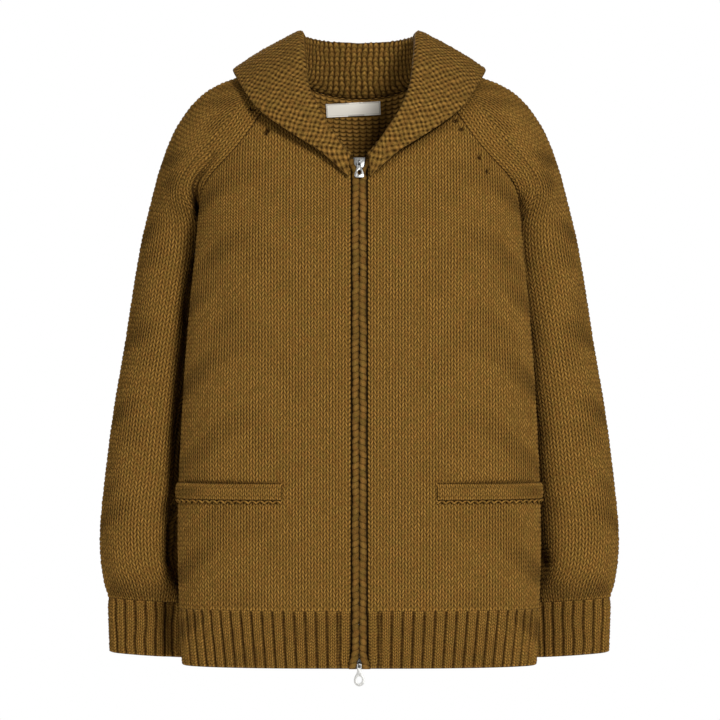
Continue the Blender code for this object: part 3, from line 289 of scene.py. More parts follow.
# ---- the forms the cloth lies on -------------------------------------
class BodyForm:
    """The body's outer surface: one run of flattened ovals, read by angle and height."""

    def point(self, degrees: Array, height: Array) -> Array:
        """A point of the surface.

        Args:
            degrees: round the body from the middle of the front over the wearer's left to the back.
            height: level above the origin.

        Returns:
            Points of the super-ellipse |x/a|^n + |y/b|^n = 1 of that level, narrowed towards the back.
        """
        degrees, height = np.broadcast_arrays(np.asarray(degrees, float), np.asarray(height, float))
        shape = smooth([row.height for row in BODY_LEVELS], [row[1:] for row in BODY_LEVELS], height)
        half_width, front_depth, back_depth, taper = np.moveaxis(shape, -1, 0)
        angle = np.radians(degrees)
        power = 2 / BODY_ROUNDNESS
        depth = np.where(np.cos(angle) > 0, front_depth, back_depth)
        y = -np.sign(np.cos(angle)) * depth * np.abs(np.cos(angle))**power
        narrowing = 1 - taper * soft_step((y + 0.050) / 0.080)
        x = half_width * np.sign(np.sin(angle)) * np.abs(np.sin(angle))**power * narrowing
        return np.stack([x, y, height], axis=-1)

    def normal(self, degrees: Array, height: Array) -> Array:
        """Outward direction: the change with the angle crossed with the change with height."""
        across = self.point(degrees + 0.5, height) - self.point(degrees - 0.5, height)
        up = self.point(degrees, height + 0.0005) - self.point(degrees, height - 0.0005)
        return unit(np.cross(across, up))

    def angle_at_reach(self, reach: Array, height: Array) -> Array:
        """Where the front lies at this distance from the middle plane."""
        half_width = curve(BODY_LEVELS, "half_width", height)
        return np.degrees(np.arcsin((np.asarray(reach) / half_width)**(BODY_ROUNDNESS / 2)))

    def even_angles(self, start: Array, end: Array, height: Array) -> tuple:
        """Angles that divide each level's stretch from start to end into equal lengths of cloth.

        Args:
            start: first angle of each level.
            end: last angle of each level.
            height: the levels.

        Returns:
            The angles, a row for each level, and each level's length of cloth.
        """
        part = np.linspace(0, 1, LEVEL_STEPS)
        fine = start[:, None] + (end - start)[:, None] * part
        length = lengths_along(self.point(fine, height[:, None]))
        angles = read_rows(np.linspace(0, 1, FINE_COLUMNS), length / length[:, -1:], fine[..., None])[..., 0]
        return angles, length[:, -1]

    def front_depth_at(self, height: Array, reach: float) -> Array:
        """How far back (y) the front lies beside the middle plane."""
        return self.point(self.angle_at_reach(reach, height), height)[..., 1]


BODY = BodyForm()


def raglan(table: Sequence, end_level: float, place: Array) -> tuple:
    """Angle and height on the body of a raglan seam, from the armpit (0) to the neck (1)."""
    height = ARMPIT_LEVEL + (end_level - ARMPIT_LEVEL) * place
    return curve(table, "degrees", height), height


def sleeve_curves(place: Array) -> Array:
    """Sections of the left sleeve: the two Bezier curves of each place, front to outer and outer to back."""
    names = ("outer", "front_pull", "front_ease", "back_pull", "back_ease")
    outer, front_pull, front_ease, back_pull, back_ease = (
        curve(SLEEVE_SECTIONS, name, place) for name in names)
    tube = [row for row in SLEEVE_SECTIONS if row.place <= 0]
    under = curve(tube, "under", np.minimum(place, 0))
    cap = np.maximum(place, 0)
    front = np.where(place[:, None] < 0, under, BODY.point(*raglan(FRONT_RAGLAN, FRONT_SHOULDER, cap)))
    back = np.where(place[:, None] < 0, under, BODY.point(*raglan(BACK_RAGLAN, BACK_SHOULDER, cap)))
    return two_curves(front, outer, back, front_pull, front_ease, back_pull, back_ease)


def two_curves(front: Array, outer: Array, back: Array, front_pull: Array,
               front_ease: Array, back_pull: Array, back_ease: Array) -> Array:
    """Cubic Bezier curves front to outer and outer to back, a row of points for each section."""
    part = np.linspace(0, 1, CURVE_STEPS)[None, :, None]
    halves = [(front, front + front_pull, outer + front_ease, outer),
              (outer, outer + back_ease, back + back_pull, back)]
    runs = [(1 - part)**3 * a[:, None] + 3 * (1 - part)**2 * part * b[:, None]
            + 3 * (1 - part) * part**2 * c[:, None] + part**3 * d[:, None] for a, b, c, d in halves]
    return np.concatenate([runs[0], runs[1][:, 1:]], axis=1)


def evenly(curves: Array, columns: int = FINE_COLUMNS) -> tuple:
    """Each row of points divided into equal lengths; returns the points and each row's whole length."""
    length = lengths_along(curves)
    return read_rows(np.linspace(0, 1, columns), length / length[:, -1:], curves), length[:, -1]


# ---- tables that a lattice of stitches is laid over ------------------
@dataclass
class ClothTable:
    """A panel's form as a fine grid, read by how far along and how far across the cloth one is.

    Rows run along the cloth and columns across it, evenly by length of cloth in each row. low is how far
    the first column lies from the reference line, from which the wales are counted.
    """

    points: Array
    outwards: Array
    widths: Array
    low: Array
    run: Array
    wall: Array = field(default_factory=lambda: np.array(WALL))

    def thickness(self, run: Array) -> Array:
        """Thickness of the cloth at this far along."""
        return np.interp(run, self.run, np.broadcast_to(self.wall, self.run.shape))

    def at_grid(self, row: Array, part: Array) -> tuple:
        """Points and outward directions at a row of the grid and a part of its width."""
        run = np.interp(row, np.arange(len(self.run)), self.run)
        low, high = self.edges(run)
        return self.at(run, low + (high - low) * part)

    def edges(self, run: Array) -> tuple:
        """Distance of both edges from the reference line at this far along."""
        low = np.interp(run, self.run, self.low)
        return low, low + np.interp(run, self.run, self.widths)

    def at(self, run: Array, across: Array) -> tuple:
        """Points and outward directions, read between the grid's own by bilinear weights."""
        rows, columns = self.points.shape[:2]
        row = np.interp(run, self.run, np.arange(rows))
        low, high = self.edges(run)
        place = np.clip((across - low) / np.maximum(high - low, 1e-9), 0, 1) * (columns - 1)
        row_low = np.minimum(row.astype(int), rows - 2)
        col_low = np.minimum(place.astype(int), columns - 2)
        up, along = (row - row_low)[..., None], (place - col_low)[..., None]

        def read(grid: Array) -> Array:
            """One grid between its own points."""
            lower = grid[row_low, col_low] * (1 - along) + grid[row_low, col_low + 1] * along
            upper = grid[row_low + 1, col_low] * (1 - along) + grid[row_low + 1, col_low + 1] * along
            return lower * (1 - up) + upper * up

        return read(self.points), unit(read(self.outwards))

    def mirror(self) -> "ClothTable":
        """The same panel on the other side of the body."""
        return ClothTable(mirrored(self.points), mirrored(self.outwards), self.widths, self.low, self.run,
                          self.wall)


def run_of(points: Array, col: int) -> Array:
    """Running length of cloth up one column of a grid."""
    return lengths_along(points[:, col][None])[0]


def band_table(points: Array, outwards: Array, widths: Array) -> ClothTable:
    """The table of a rib band: as wide all along as it is on average."""
    return ClothTable(points, outwards, np.full(BAND_ROWS, widths.mean()), np.zeros(BAND_ROWS),
                      run_of(points, MIDDLE), np.array(RIB_WALL))


def eased_to(outwards: Array, edge: Array, widths: Array, last: bool) -> Array:
    """Outward directions that turn smoothly into the seam's own over the last stretch before an edge.

    Args:
        outwards: the grid's directions.
        edge: the seam's outward direction in each row.
        widths: each row's length of cloth.
        last: True for the last column's edge, False for the first's.

    Returns:
        The blended directions: the seam's share falls from 1 to 0 over SEAM_EASE.
    """
    far = np.linspace(0, 1, outwards.shape[1])
    far = (1 - far if last else far)[None] * widths[:, None]
    share = (1 - soft_step(far / SEAM_EASE))[..., None]
    return unit(outwards * (1 - share) + edge[:, None] * share)


EASE_REACH = 0.016          # over this distance rows of the sleeve are evened out at the armpit
EASE_EDGE = 0.07            # part of the sleeve's width beside each seam that takes less of it
EASE_SPAN = 0.120           # how far from its middle it works
EASE_ABOVE = 0.040          # its middle lies this far above the armpit
EASE_FADE = 0.050           # and it fades out over this length


class Pattern:
    """The cut of the cardigan: a cloth table for each panel, worked out together as they share their seams."""

    def __init__(self) -> None:
        """Work out every panel's table from the forms."""
        self.cap = np.linspace(0, 1, FINE_ROWS)
        self.low_heights = np.linspace(RIB_TOP + HALF_GAP, ARMPIT_LEVEL, FINE_ROWS)[:-1]
        sleeve_places = np.concatenate([np.linspace(-1, 0, FINE_ROWS)[:-1], self.cap])
        self.tube_rows = FINE_ROWS - 1
        self.sleeve_points, self.sleeve_widths = evenly(sleeve_curves(sleeve_places))
        self.sleeve_points = self.eased_rows(self.sleeve_points)
        self.front = self.front_table()
        self.back = self.back_table()
        self.sleeve = self.sleeve_table()

    def eased_rows(self, points: Array) -> Array:
        """The sleeve's rows evened out where the tube goes over into the cap, but not at its seams.

        Args:
            points: the sleeve's grid of points.

        Returns:
            The grid, in which knitting of this weight drapes over the armpit without a step.
        """
        run = run_of(points, MIDDLE)
        weight = np.exp(-((run[:, None] - run) / EASE_REACH)**2 / 2) * np.gradient(run)
        evened = np.einsum("ij,jkl->ikl", weight / weight.sum(axis=1, keepdims=True), points)
        part = np.linspace(0, 1, points.shape[1])
        inside = soft_step(np.minimum(part, 1 - part) / EASE_EDGE)
        near = soft_step((EASE_SPAN - np.abs(run - run[self.tube_rows] - EASE_ABOVE)) / EASE_FADE)
        return points + (near[:, None] * inside)[..., None] * (evened - points)

    def seam_outwards(self) -> tuple:
        """Outward directions of the front and back raglan seams: they halve the angle of the two walls."""
        sleeve_side = grid_normals(self.sleeve_points)[self.tube_rows:]
        fade = np.linspace(1, 0, FINE_ROWS)[:, None]**2
        front = BODY.normal(*raglan(FRONT_RAGLAN, FRONT_SHOULDER, self.cap)) + sleeve_side[:, 0]
        back = BODY.normal(*raglan(BACK_RAGLAN, BACK_SHOULDER, self.cap)) + sleeve_side[:, -1]
        return unit(front - fade * np.array([0, 0.5, 0])), unit(back - fade * np.array([0, -0.5, 0]))

    def side_outwards(self) -> Array:
        """Outward direction of the side seam below the armpit."""
        return BODY.normal(np.full(self.tube_rows, SIDE_SEAM), self.low_heights)

    def front_table(self) -> ClothTable:
        """The left front: columns from its edge at the zip to the side and raglan seam."""
        seam_angles, seam_heights = raglan(FRONT_RAGLAN, FRONT_SHOULDER, self.cap)
        heights = np.concatenate([self.low_heights, seam_heights])
        neck = curve(FRONT_NECKLINE, "reach", heights)
        reach = np.where(heights > ZIP_TOP, neck, FRONT_EDGE)
        ends = np.concatenate([np.full(self.tube_rows, SIDE_SEAM), seam_angles])
        angles, widths = BODY.even_angles(BODY.angle_at_reach(reach, heights), ends, heights)
        points = BODY.point(angles, heights[:, None])
        outwards = grid_normals(points)
        seam = np.concatenate([self.side_outwards(), self.seam_outwards()[0]])
        outwards = eased_to(outwards, seam, widths, last=True)
        square = np.broadcast_to(np.array([0.0, -1.0, 0.0]), seam.shape)
        plain = eased_to(outwards, square, widths, last=False)
        outwards = np.where((heights <= ZIP_TOP)[:, None, None], plain, outwards)
        return ClothTable(points, outwards, widths, reach - FRONT_EDGE, run_of(points, MIDDLE))

    def back_table(self) -> ClothTable:
        """The back: columns from the wearer's left seam round to the right one, wales from its middle."""
        seam_angles, seam_heights = raglan(BACK_RAGLAN, BACK_SHOULDER, self.cap)
        heights = np.concatenate([self.low_heights, seam_heights])
        starts = np.concatenate([np.full(self.tube_rows, SIDE_SEAM), seam_angles])
        angles, widths = BODY.even_angles(starts, 360 - starts, heights)
        part = soft_step((heights - ARMPIT_LEVEL) / (BACK_SHOULDER - ARMPIT_LEVEL))[:, None]
        across = np.linspace(-1, 1, FINE_COLUMNS)
        points = BODY.point(angles, heights[:, None] - BACK_NECK_DIP * part**2 * (1 - across**2))
        outwards = grid_normals(points)
        seam = np.concatenate([self.side_outwards(), self.seam_outwards()[1]])
        outwards = eased_to(outwards, seam, widths, last=False)
        outwards = eased_to(outwards, mirrored(seam), widths, last=True)
        return ClothTable(points, outwards, widths, -widths / 2, run_of(points, FINE_COLUMNS // 4))

    def sleeve_table(self) -> ClothTable:
        """The left sleeve: columns from the front seam over the outer side to the back seam."""
        points, widths = self.sleeve_points, self.sleeve_widths
        low_half = np.arange(len(widths)) < self.tube_rows // 2
        widths = np.where(low_half, np.maximum(widths, GATHERED * widths.max()), widths)
        outwards = grid_normals(points)
        under = unit(outwards[:self.tube_rows, 0] + outwards[:self.tube_rows, -1])
        front, back = self.seam_outwards()
        outwards = eased_to(outwards, np.concatenate([under, front]), widths, last=False)
        outwards = eased_to(outwards, np.concatenate([under, back]), widths, last=True)
        return ClothTable(points, outwards, widths, -widths / 2, run_of(points, MIDDLE))

    def hem_table(self, start: float, end: float) -> ClothTable:
        """A stretch of the hem rib from one angle round the body to another."""
        heights = np.linspace(HEM_LEVEL, RIB_TOP + HALF_GAP + JOIN_LAP, BAND_ROWS)
        angles, widths = BODY.even_angles(np.full(BAND_ROWS, start), np.full(BAND_ROWS, end), heights)
        points = BODY.point(angles, heights[:, None])
        outwards = grid_normals(points) * np.array([1.0, 1.0, 0.0])
        return band_table(points, unit(outwards), widths)

    def cuff_table(self) -> ClothTable:
        """The left cuff, all round: its sections run from the sleeve's last one to its own end."""
        top = SLEEVE_SECTIONS[0]
        part = np.linspace(1, 0, BAND_ROWS)[:, None]
        under, outer, *pulls = (np.asarray(a) * (1 - part) + np.asarray(b) * part
                                for a, b in zip(top[1:], CUFF_END[1:]))
        points, widths = evenly(two_curves(under, outer, under, *pulls))
        points[-1] += unit(points[-1] - points[-2]) * JOIN_LAP
        outwards = grid_normals(points)
        outwards[:, 0] = outwards[:, -1] = unit(outwards[:, 1] + outwards[:, -2])
        return band_table(points, outwards, widths)


# ---- kinds of knitting -----------------------------------------------
@dataclass(frozen=True)
class Gauge:
    """One kind of knitting, as the lattice that carries it.

    repeat is the width of what repeats across and row the height of one knitted row; columns and rows say
    where in them the lattice's lines lie. depth is the height of the relief.
    """

    repeat: float
    row: float
    columns: tuple
    rows: tuple
    depth: float

    def lean(self, u: Array) -> Array:
        """How far up a lattice point is moved at this place of the repeat."""
        return np.zeros_like(u)

    def relief(self, u: Array, v: Array) -> Array:
        """Height above the valleys, from 0 to depth, at repeat u and knitted row v."""
        return np.zeros(np.broadcast(u, v).shape)

    def wale(self, u: Array) -> Array:
        """The place across counted in wales, for the yarn's own pattern."""
        return u

    def unevenly(self, u: Array, v: Array) -> tuple:
        """Repeat and row as the yarn lies in them, which is less even than the lattice."""
        return u, v


@dataclass(frozen=True)
class Stockinette(Gauge):
    """Wales of V-shaped stitches: each V has two steep legs, round across and dipping under at both ends."""

    repeat: float = 0.0070
    row: float = 0.0052
    columns: tuple = (0.0, 0.25, 0.5, 0.75)
    rows: tuple = (0.0, 0.28, 0.72)
    depth: float = 0.0019
    climb: float = 0.0062

    def lean(self, u: Array) -> Array:
        """A triangular wave: lowest in the middle of the wale, where the V has its point."""
        return self.climb * (2 * np.abs(u % 1 - 0.5) - 0.5)

    def relief(self, u: Array, v: Array) -> Array:
        """Half a sine across the leg, times a hump along it that is lowest between two wales."""
        side = 2 * np.abs(u % 1 - 0.5)
        along = 0.30 * (1 - side) + 0.12 * side + 1.55 * np.sqrt(np.clip(side * (1 - side), 0, 1))
        leg = np.sin(np.pi * (v % 1))
        uneven = 1 + 0.20 * scatter(np.floor(2 * u), np.floor(v + 1e-6), 1.0)
        return self.depth * along * (0.34 + 0.66 * leg) * uneven


@dataclass(frozen=True)
class SeedStitch(Gauge):
    """Knit and purl bumps by turns: a checkerboard of raised pebbles with small dark holes."""

    repeat: float = 0.0042
    row: float = 0.0068
    columns: tuple = (0.0, 0.5)
    rows: tuple = (0.0, 0.25, 0.50, 0.75)
    depth: float = 0.0016
    stand: bool = False         # below zero across, the bumps stack into columns parted by grooves

    def relief(self, u: Array, v: Array) -> Array:
        """An egg crate, high in every second cell; in the stand, leaning bumps stacked in columns."""
        cell_u, cell_v = np.floor(u + 1e-6), np.floor(v + 1e-6)
        uneven = 1 + 0.22 * scatter(cell_u, cell_v, 2.0)
        crate = 0.5 + 0.5 * np.sin(np.pi * u) * np.sin(2 * np.pi * v)
        groove = np.abs(np.sin(np.pi * v))**0.6
        lean = 0.5 * np.abs(2 * (v % 1) - 1)
        stacked = groove * (0.40 + 0.60 * np.abs(np.sin(np.pi * (0.75 * u + lean))))
        return self.depth * np.where(self.stand & (u < 0), 1.25 * stacked, crate) * uneven

    def unevenly(self, u: Array, v: Array) -> tuple:
        """Bumps drift out of line by up to a quarter of their spacing."""
        sway_u = 0.20 * np.sin(1.31 * v + 1.9 * np.sin(0.83 * u)) + 0.10 * np.sin(3.7 * v + 2.2 * u)
        sway_v = 0.09 * np.sin(1.17 * u + 2.3 * np.sin(0.91 * v)) + 0.05 * np.sin(2.9 * u - 3.3 * v)
        return np.where(u > 0, u + sway_u * np.minimum(u, 1), u), v + sway_v


@dataclass(frozen=True)
class TwoByTwoRib(Gauge):
    """Two wales of V stitches raised on each ridge, and a narrow purl valley."""

    repeat: float = RIB_PITCH
    row: float = 0.0035
    columns: tuple = (0.0, 0.135, 0.225, 0.32, 0.41, 0.50, 0.59, 0.68, 0.775, 0.865)
    rows: tuple = (0.0, 0.30, 0.70)
    depth: float = RIB_RISE + 0.0018
    heights: tuple = (0.00, 0.14, 0.86, 0.86, 1.00, 0.66, 1.00, 0.86, 0.86, 0.14, 0.00)
    leans: tuple = (0.5, 0.5, 0.1, -0.5, 0.1, 0.5, 0.1, -0.5, 0.1, 0.5, 0.5)
    climb: float = 0.0030

    def lean(self, u: Array) -> Array:
        """Each V is lowest in its middle."""
        return self.climb * np.interp(u % 1, self.columns + (1.0,), self.leans)

    def relief(self, u: Array, v: Array) -> Array:
        """The rib's profile across, with each leg's half sine cut into its top; beads lie in the valley."""
        ridge = np.interp(u % 1, self.columns + (1.0,), self.heights)
        leg = np.sin(np.pi * (v % 1))
        uneven = 1 + 0.10 * scatter(np.floor(4 * u), np.floor(v + 1e-6), 3.0)
        return self.depth * (ridge * (0.70 + 0.30 * leg) * uneven + 0.10 * leg * (ridge < 0.1))

    def wale(self, u: Array) -> Array:
        """The ridge holds two wales and the valley one."""
        return 3 * np.floor(u) + np.interp(u % 1, (0.0, 0.135, 0.50, 0.865, 1.0), (-0.5, 0.0, 1.0, 2.0, 2.5))


@dataclass(frozen=True)
class PurlSide(Gauge):
    """The inside of stockinette: a ridge of small arcs along every knitted row."""

    repeat: float = 0.0070
    row: float = 0.0052
    columns: tuple = (0.0,)
    rows: tuple = (0.0, 0.28, 0.72)
    depth: float = 0.0011

    def relief(self, u: Array, v: Array) -> Array:
        """A cosine ridge on each row line."""
        return self.depth * np.cos(np.pi * (v % 1))**2 * np.ones_like(u)


class Crease(NamedTuple):
    """A soft trough (depth below 0) or ridge along a short line, placed on a panel.

    along and across are where it starts and ends, in metres up the cloth and from the reference line.
    """

    along: tuple
    across: tuple
    width: float
    depth: float


def creased(creases: Sequence, run: Array, across: Array) -> Array:
    """Height of all creases: each is a bell curve of the distance to its line, fading out past its ends."""
    height = np.zeros(np.broadcast(run, across).shape)
    for crease in creases:
        a = np.array([crease.along[0], crease.across[0]])
        b = np.array([crease.along[1], crease.across[1]])
        reach = b - a
        part = ((run - a[0]) * reach[0] + (across - a[1]) * reach[1]) / (reach @ reach)
        held = np.clip(part, 0, 1)
        away = np.hypot(run - a[0] - held * reach[0], across - a[1] - held * reach[1])
        swell = 0.45 + 0.55 * np.sin(np.pi * np.clip(part, 0, 1))
        height += crease.depth * swell * np.exp(-(away / crease.width)**2)
    return height


GROOVE_WIDTH, END_GROOVE_WIDTH = 0.0032, 0.0030       # of the dips into the seams
SWAY_EDGE = 0.012           # wales and rows lie still at the cloth's edges and sway fully from here


# ---- meshes ----------------------------------------------------------
class Skin(NamedTuple):
    """A grid of points with its yarn coordinates."""

    points: Array
    yarn: Array


def grid_triangles(points: Array, first: int) -> Array:
    """Two triangles for each cell of a grid, parted along the shorter diagonal.

    Args:
        points: the grid.
        first: number of the grid's first corner.

    Returns:
        Corner numbers, turned so that columns crossed with rows is outwards.
    """
    rows, columns = points.shape[:2]
    index = first + np.arange(rows * columns).reshape(rows, columns)
    a, b, c, d = index[:-1, :-1], index[:-1, 1:], index[1:, 1:], index[1:, :-1]
    rising = np.linalg.norm(points[1:, 1:] - points[:-1, :-1], axis=2)
    falling = np.linalg.norm(points[1:, :-1] - points[:-1, 1:], axis=2)
    split = (rising <= falling)[..., None]
    one = np.where(split, np.stack([a, b, c], -1), np.stack([a, b, d], -1))
    two = np.where(split, np.stack([a, c, d], -1), np.stack([b, c, d], -1))
    return np.concatenate([one.reshape(-1, 3), two.reshape(-1, 3)])


def rim_triangles(fine: Array, coarse: Array) -> Array:
    """A strip between two lines of corners, the fine one with a whole number of steps to each coarse one."""
    step = (len(fine) - 1) // (len(coarse) - 1)
    steps = np.arange(len(fine) - 1)
    near = (steps + step // 2 + (step % 2)) // step if step > 1 else steps
    near = np.minimum(near, len(coarse) - 1)
    fans = np.stack([fine[steps + 1], fine[steps], coarse[near]], -1)
    knots = np.arange(len(coarse) - 1)
    turn = knots * step + (step - step // 2 - (step % 2) if step > 1 else 1)
    fills = np.stack([fine[np.clip(turn, 0, len(fine) - 1)], coarse[knots], coarse[knots + 1]], -1)
    return np.concatenate([fans, fills])


def mesh_from(name: str, points: Array, corners: Array, yarn: Array,
              inside: Array | None = None) -> Mesh:
    """A smooth triangle mesh with its yarn coordinates, after points that coincide have been joined.

    Args:
        name: the mesh's name.
        points: all corners' points.
        corners: three corner numbers for each triangle.
        yarn: wale and row of each corner.
        inside: True for each triangle of the cloth's inner face; None if it has none.

    Returns:
        The mesh, its faces outwards. Triangles that closed up where wales end are left out.
    """
    inside = np.zeros(len(corners), bool) if inside is None else inside
    _, keep, joined = np.unique(np.round(points * 1e6).astype(np.int64), axis=0,
                                return_index=True, return_inverse=True)
    faces = joined.reshape(-1)[corners]
    whole = (faces[:, 0] != faces[:, 1]) & (faces[:, 1] != faces[:, 2]) & (faces[:, 2] != faces[:, 0])
    faces, corners, inside = faces[whole], corners[whole], inside[whole]
    a, b, c = np.moveaxis(points[keep][faces], 1, 0)
    if np.sum(a * np.cross(b, c)) < 0:          # the volume it encloses, six times
        faces, corners = faces[:, ::-1], corners[:, ::-1]
    mesh = bpy.data.meshes.new(name)
    mesh.vertices.add(len(keep))
    mesh.vertices.foreach_set("co", points[keep].ravel())
    mesh.loops.add(faces.size)
    mesh.loops.foreach_set("vertex_index", faces.ravel().astype(np.int32))
    mesh.polygons.add(len(faces))
    mesh.polygons.foreach_set("loop_start", np.arange(0, faces.size, 3, dtype=np.int32))
    mesh.polygons.foreach_set("use_smooth", np.ones(len(faces), bool))
    mesh.polygons.foreach_set("material_index", inside.astype(np.int32))
    mesh.update(calc_edges=True)
    layer = mesh.uv_layers.new(name="stitch")
    layer.data.foreach_set("uv", yarn[corners.ravel()].ravel())
    return mesh


def linked(name: str, data: ID) -> Object:
    """A new object of the scene."""
    made = bpy.data.objects.new(name, data)
    bpy.context.scene.collection.objects.link(made)
    return made


def put(name: str, mesh: Mesh, finishes: Sequence) -> Object:
    """A new piece at the origin with its finishes."""
    for finish in finishes:
        mesh.materials.append(finish)
    return linked(name, mesh)


def closed_rings(rings: Array) -> Array:
    """Rings closed to a skin: the first column comes again, and both ends shrink to their middle."""
    ends = np.broadcast_to(rings.mean(axis=1, keepdims=True), rings.shape)
    rings = np.concatenate([ends[:1], rings, ends[-1:]])
    return np.concatenate([rings, rings[:, :1]], axis=1)


def ring_mesh(name: str, rings: Array, yarn: Array) -> Mesh:
    """A closed mesh through rings of points, such as a roll of cloth, a slab or a strand of yarn."""
    points, yarn = closed_rings(rings), closed_rings(yarn)
    return mesh_from(name, points.reshape(-1, 3), grid_triangles(points, 0), yarn.reshape(-1, 2))


@dataclass
class Lattice:
    """Stitches laid over a cloth table, as a closed wall: relief outside and a plainer inner face."""

    name: str
    table: ClothTable
    gauge: Gauge
    low_band: int = 0           # wales that run along the first edge instead of the reference line
    high_band: int = 0          # and along the last edge
    low_groove: float = 0.0     # how deep the cloth dips into the seam at its edges
    high_groove: float = 0.0
    end_groove: float = 0.0
    creases: Sequence = ()
    closed: bool = False        # the last column is the first
    sink: float = 0.5           # share of the relief that lies below the form
    sway: float = 0.0007        # how far wales and rows wander
    inner_gauge: Gauge = PurlSide()
    inner_rows: int = 3         # the inner face has every so many rows of the lattice
    inner_columns: int = 0      # and every so many columns; 0 is one for each repeat
    round_ends: tuple = (True, True)    # whether the relief dies away at the first and the last row
    rise: float = 0.0           # length over which the relief grows from a joined last row
    holes: Sequence = ()        # dents whose yarn coordinates are rounded to a gap between stitches, so that painted shade fills them
    edge_width: float = 0.0     # a band at the first edge in another stitch
    edge_gauge: Gauge = field(default_factory=SeedStitch)

    def columns(self) -> tuple:
        """Place of every column: how it is counted, its value, and its place in the pattern.

        Returns:
            kind (0 from the first edge, 1 from the reference line, 2 from the last edge), the distance
            counted that way in repeats, and the pattern's place u.
        """
        gauge = self.gauge
        phases = np.array(gauge.columns)
        low = self.table.low + self.low_band * gauge.repeat + self.edge_width
        high = self.table.low + self.table.widths - self.high_band * gauge.repeat
        first = 0 if self.edge_width else math.floor(low.min() / gauge.repeat + 1e-6)
        last = math.ceil((high.max() - self.edge_width) / gauge.repeat - 1e-6)
        middle = (np.arange(first, last)[:, None] + phases).ravel()
        parts = [(1, middle)]
        if self.low_band:
            parts.insert(0, (0, (np.arange(self.low_band)[:, None] + phases).ravel()))
        if self.edge_width:
            edge = np.arange(len(phases)) / len(phases) * self.edge_width / gauge.repeat
            parts.insert(0, (0, edge))
        if self.high_band:
            band = (np.arange(self.high_band)[:, None] + phases).ravel()
            parts.append((2, np.append(self.high_band - band, 0.0)))
        else:
            parts[-1] = (1, np.append(middle, float(last)))
        kind = np.concatenate([np.full(len(values), kind) for kind, values in parts])
        value = np.concatenate([values for _, values in parts])
        return kind, value, np.where(kind == 2, -value, value)

    def across(self, run: Array, kind: Array, value: Array) -> tuple:
        """Distance of each lattice point from the reference line, and how fully its relief shows.

        A wale that meets a band's line, or an edge, stays on it from there: it has been knitted away.
        Relief and lean fade to nothing within a quarter of a wale of that line, so such points coincide.
        """
        repeat = self.gauge.repeat
        low, high = self.table.edges(run)
        gap = 0.0 if self.closed else -OVERLAP
        low, high = low + gap, high - gap
        low_line = low + self.low_band * repeat + self.edge_width
        high_line = np.maximum(high - self.high_band * repeat, low_line)
        free = value * repeat + self.edge_width
        middle = np.clip(free, low_line, high_line)
        near = np.minimum(free - low_line, high_line - free)
        first, last = low + value * repeat, high - value * repeat
        place = np.where(kind == 0, first, np.where(kind == 2, np.maximum(last, low), middle))
        band = np.where(kind == 0, self.low_band + self.edge_width / repeat, self.high_band)
        near_band = np.minimum(value, band - value) * repeat
        near_band = np.where(kind == 2, np.minimum(near_band, np.maximum(last - low, 0)), near_band)
        fade = np.clip(np.where(kind == 1, near, near_band) / (repeat * self.fade_part()), 0, 1)
        return place, np.ones_like(fade) if self.closed else fade

    def fade_part(self) -> float:
        """Part of a repeat over which the relief fades: the step from one column to the next."""
        return 1 / len(self.gauge.columns)

    def skins(self) -> tuple:
        """Outer and inner face, as grids of points with the yarn's coordinates."""
        gauge, table = self.gauge, self.table
        count = max(round(table.run[-1] / gauge.row), 1)
        v = np.append((np.arange(count)[:, None] + np.array(gauge.rows)).ravel(), float(count))
        kind, value, u = self.columns()
        base = np.broadcast_to((v / count * table.run[-1])[:, None], (len(v), len(u)))
        ends = np.ones((len(v), 1))
        for rounded, rows_in in zip(self.round_ends, (v, count - v)):
            if rounded:
                ends = np.minimum(ends, np.clip(rows_in / 0.5, 0, 1)[:, None])
        _, fade = self.across(base, kind, value)
        straight = np.clip(np.minimum(v, count - v), 0, 1)[:, None]
        run = np.clip(base + gauge.lean(u)[None] * fade * straight, 0, table.run[-1])
        place, _ = self.across(run, kind, value)
        run, place = self.drift(run, place)
        rows = np.broadcast_to(v[:, None], run.shape)
        counted = np.broadcast_to(u % round(value.max()) if self.closed else u, run.shape)
        relief = gauge.relief(*gauge.unevenly(counted, rows))
        if self.edge_width:
            cells = counted * gauge.repeat / self.edge_gauge.repeat
            relief = np.where(kind == 0, self.edge_gauge.relief(cells, rows), relief)
        height = relief * fade * ends - self.sink * gauge.depth
        if self.rise:
            height = height * soft_step(0.15 + (table.run[-1] - run) / self.rise)
        height = height + self.shaped(run, place)
        points, outwards = table.at(run, place)
        outer = points + outwards * height[..., None]
        wale = u if self.closed else np.where(kind == 1, (place - self.edge_width) / gauge.repeat, u)
        wale, rows = gauge.unevenly(np.broadcast_to(wale, run.shape), rows)
        yarn = np.stack([gauge.wale(wale), rows], axis=-1)
        # painted shade in the holes: yarn coordinates rounded to a gap between stitches get the finish's
        # painted shade colour
        for hole in self.holes:
            away = np.hypot(run - np.mean(hole.along), place - np.mean(hole.across))
            yarn = np.where((away < hole.width)[..., None], np.round(yarn), yarn)
        return Skin(outer, yarn), self.inner_skin(base, kind, value, yarn, ends)

    def drift(self, run: Array, place: Array) -> tuple:
        """Lattice points as hand-framed cloth has them: wales and rows sway by a small part of a stitch.

        Args:
            run: distance of the points along the cloth.
            place: and across it.

        Returns:
            Both, swayed by a few waves, but not at the cloth's edges.
        """
        low, high = self.table.edges(run)
        far = np.minimum(np.minimum(place - low, high - place), np.minimum(run, self.table.run[-1] - run))
        free = self.sway * soft_step(far / SWAY_EDGE)
        sag = np.sin(53 * place + 1.7 * np.sin(41 * run)) + 0.6 * np.sin(131 * place - 71 * run)
        side = np.sin(61 * run + 2.1 * np.sin(37 * place)) + 0.6 * np.sin(149 * run + 83 * place)
        return run + free * sag, place + free * side

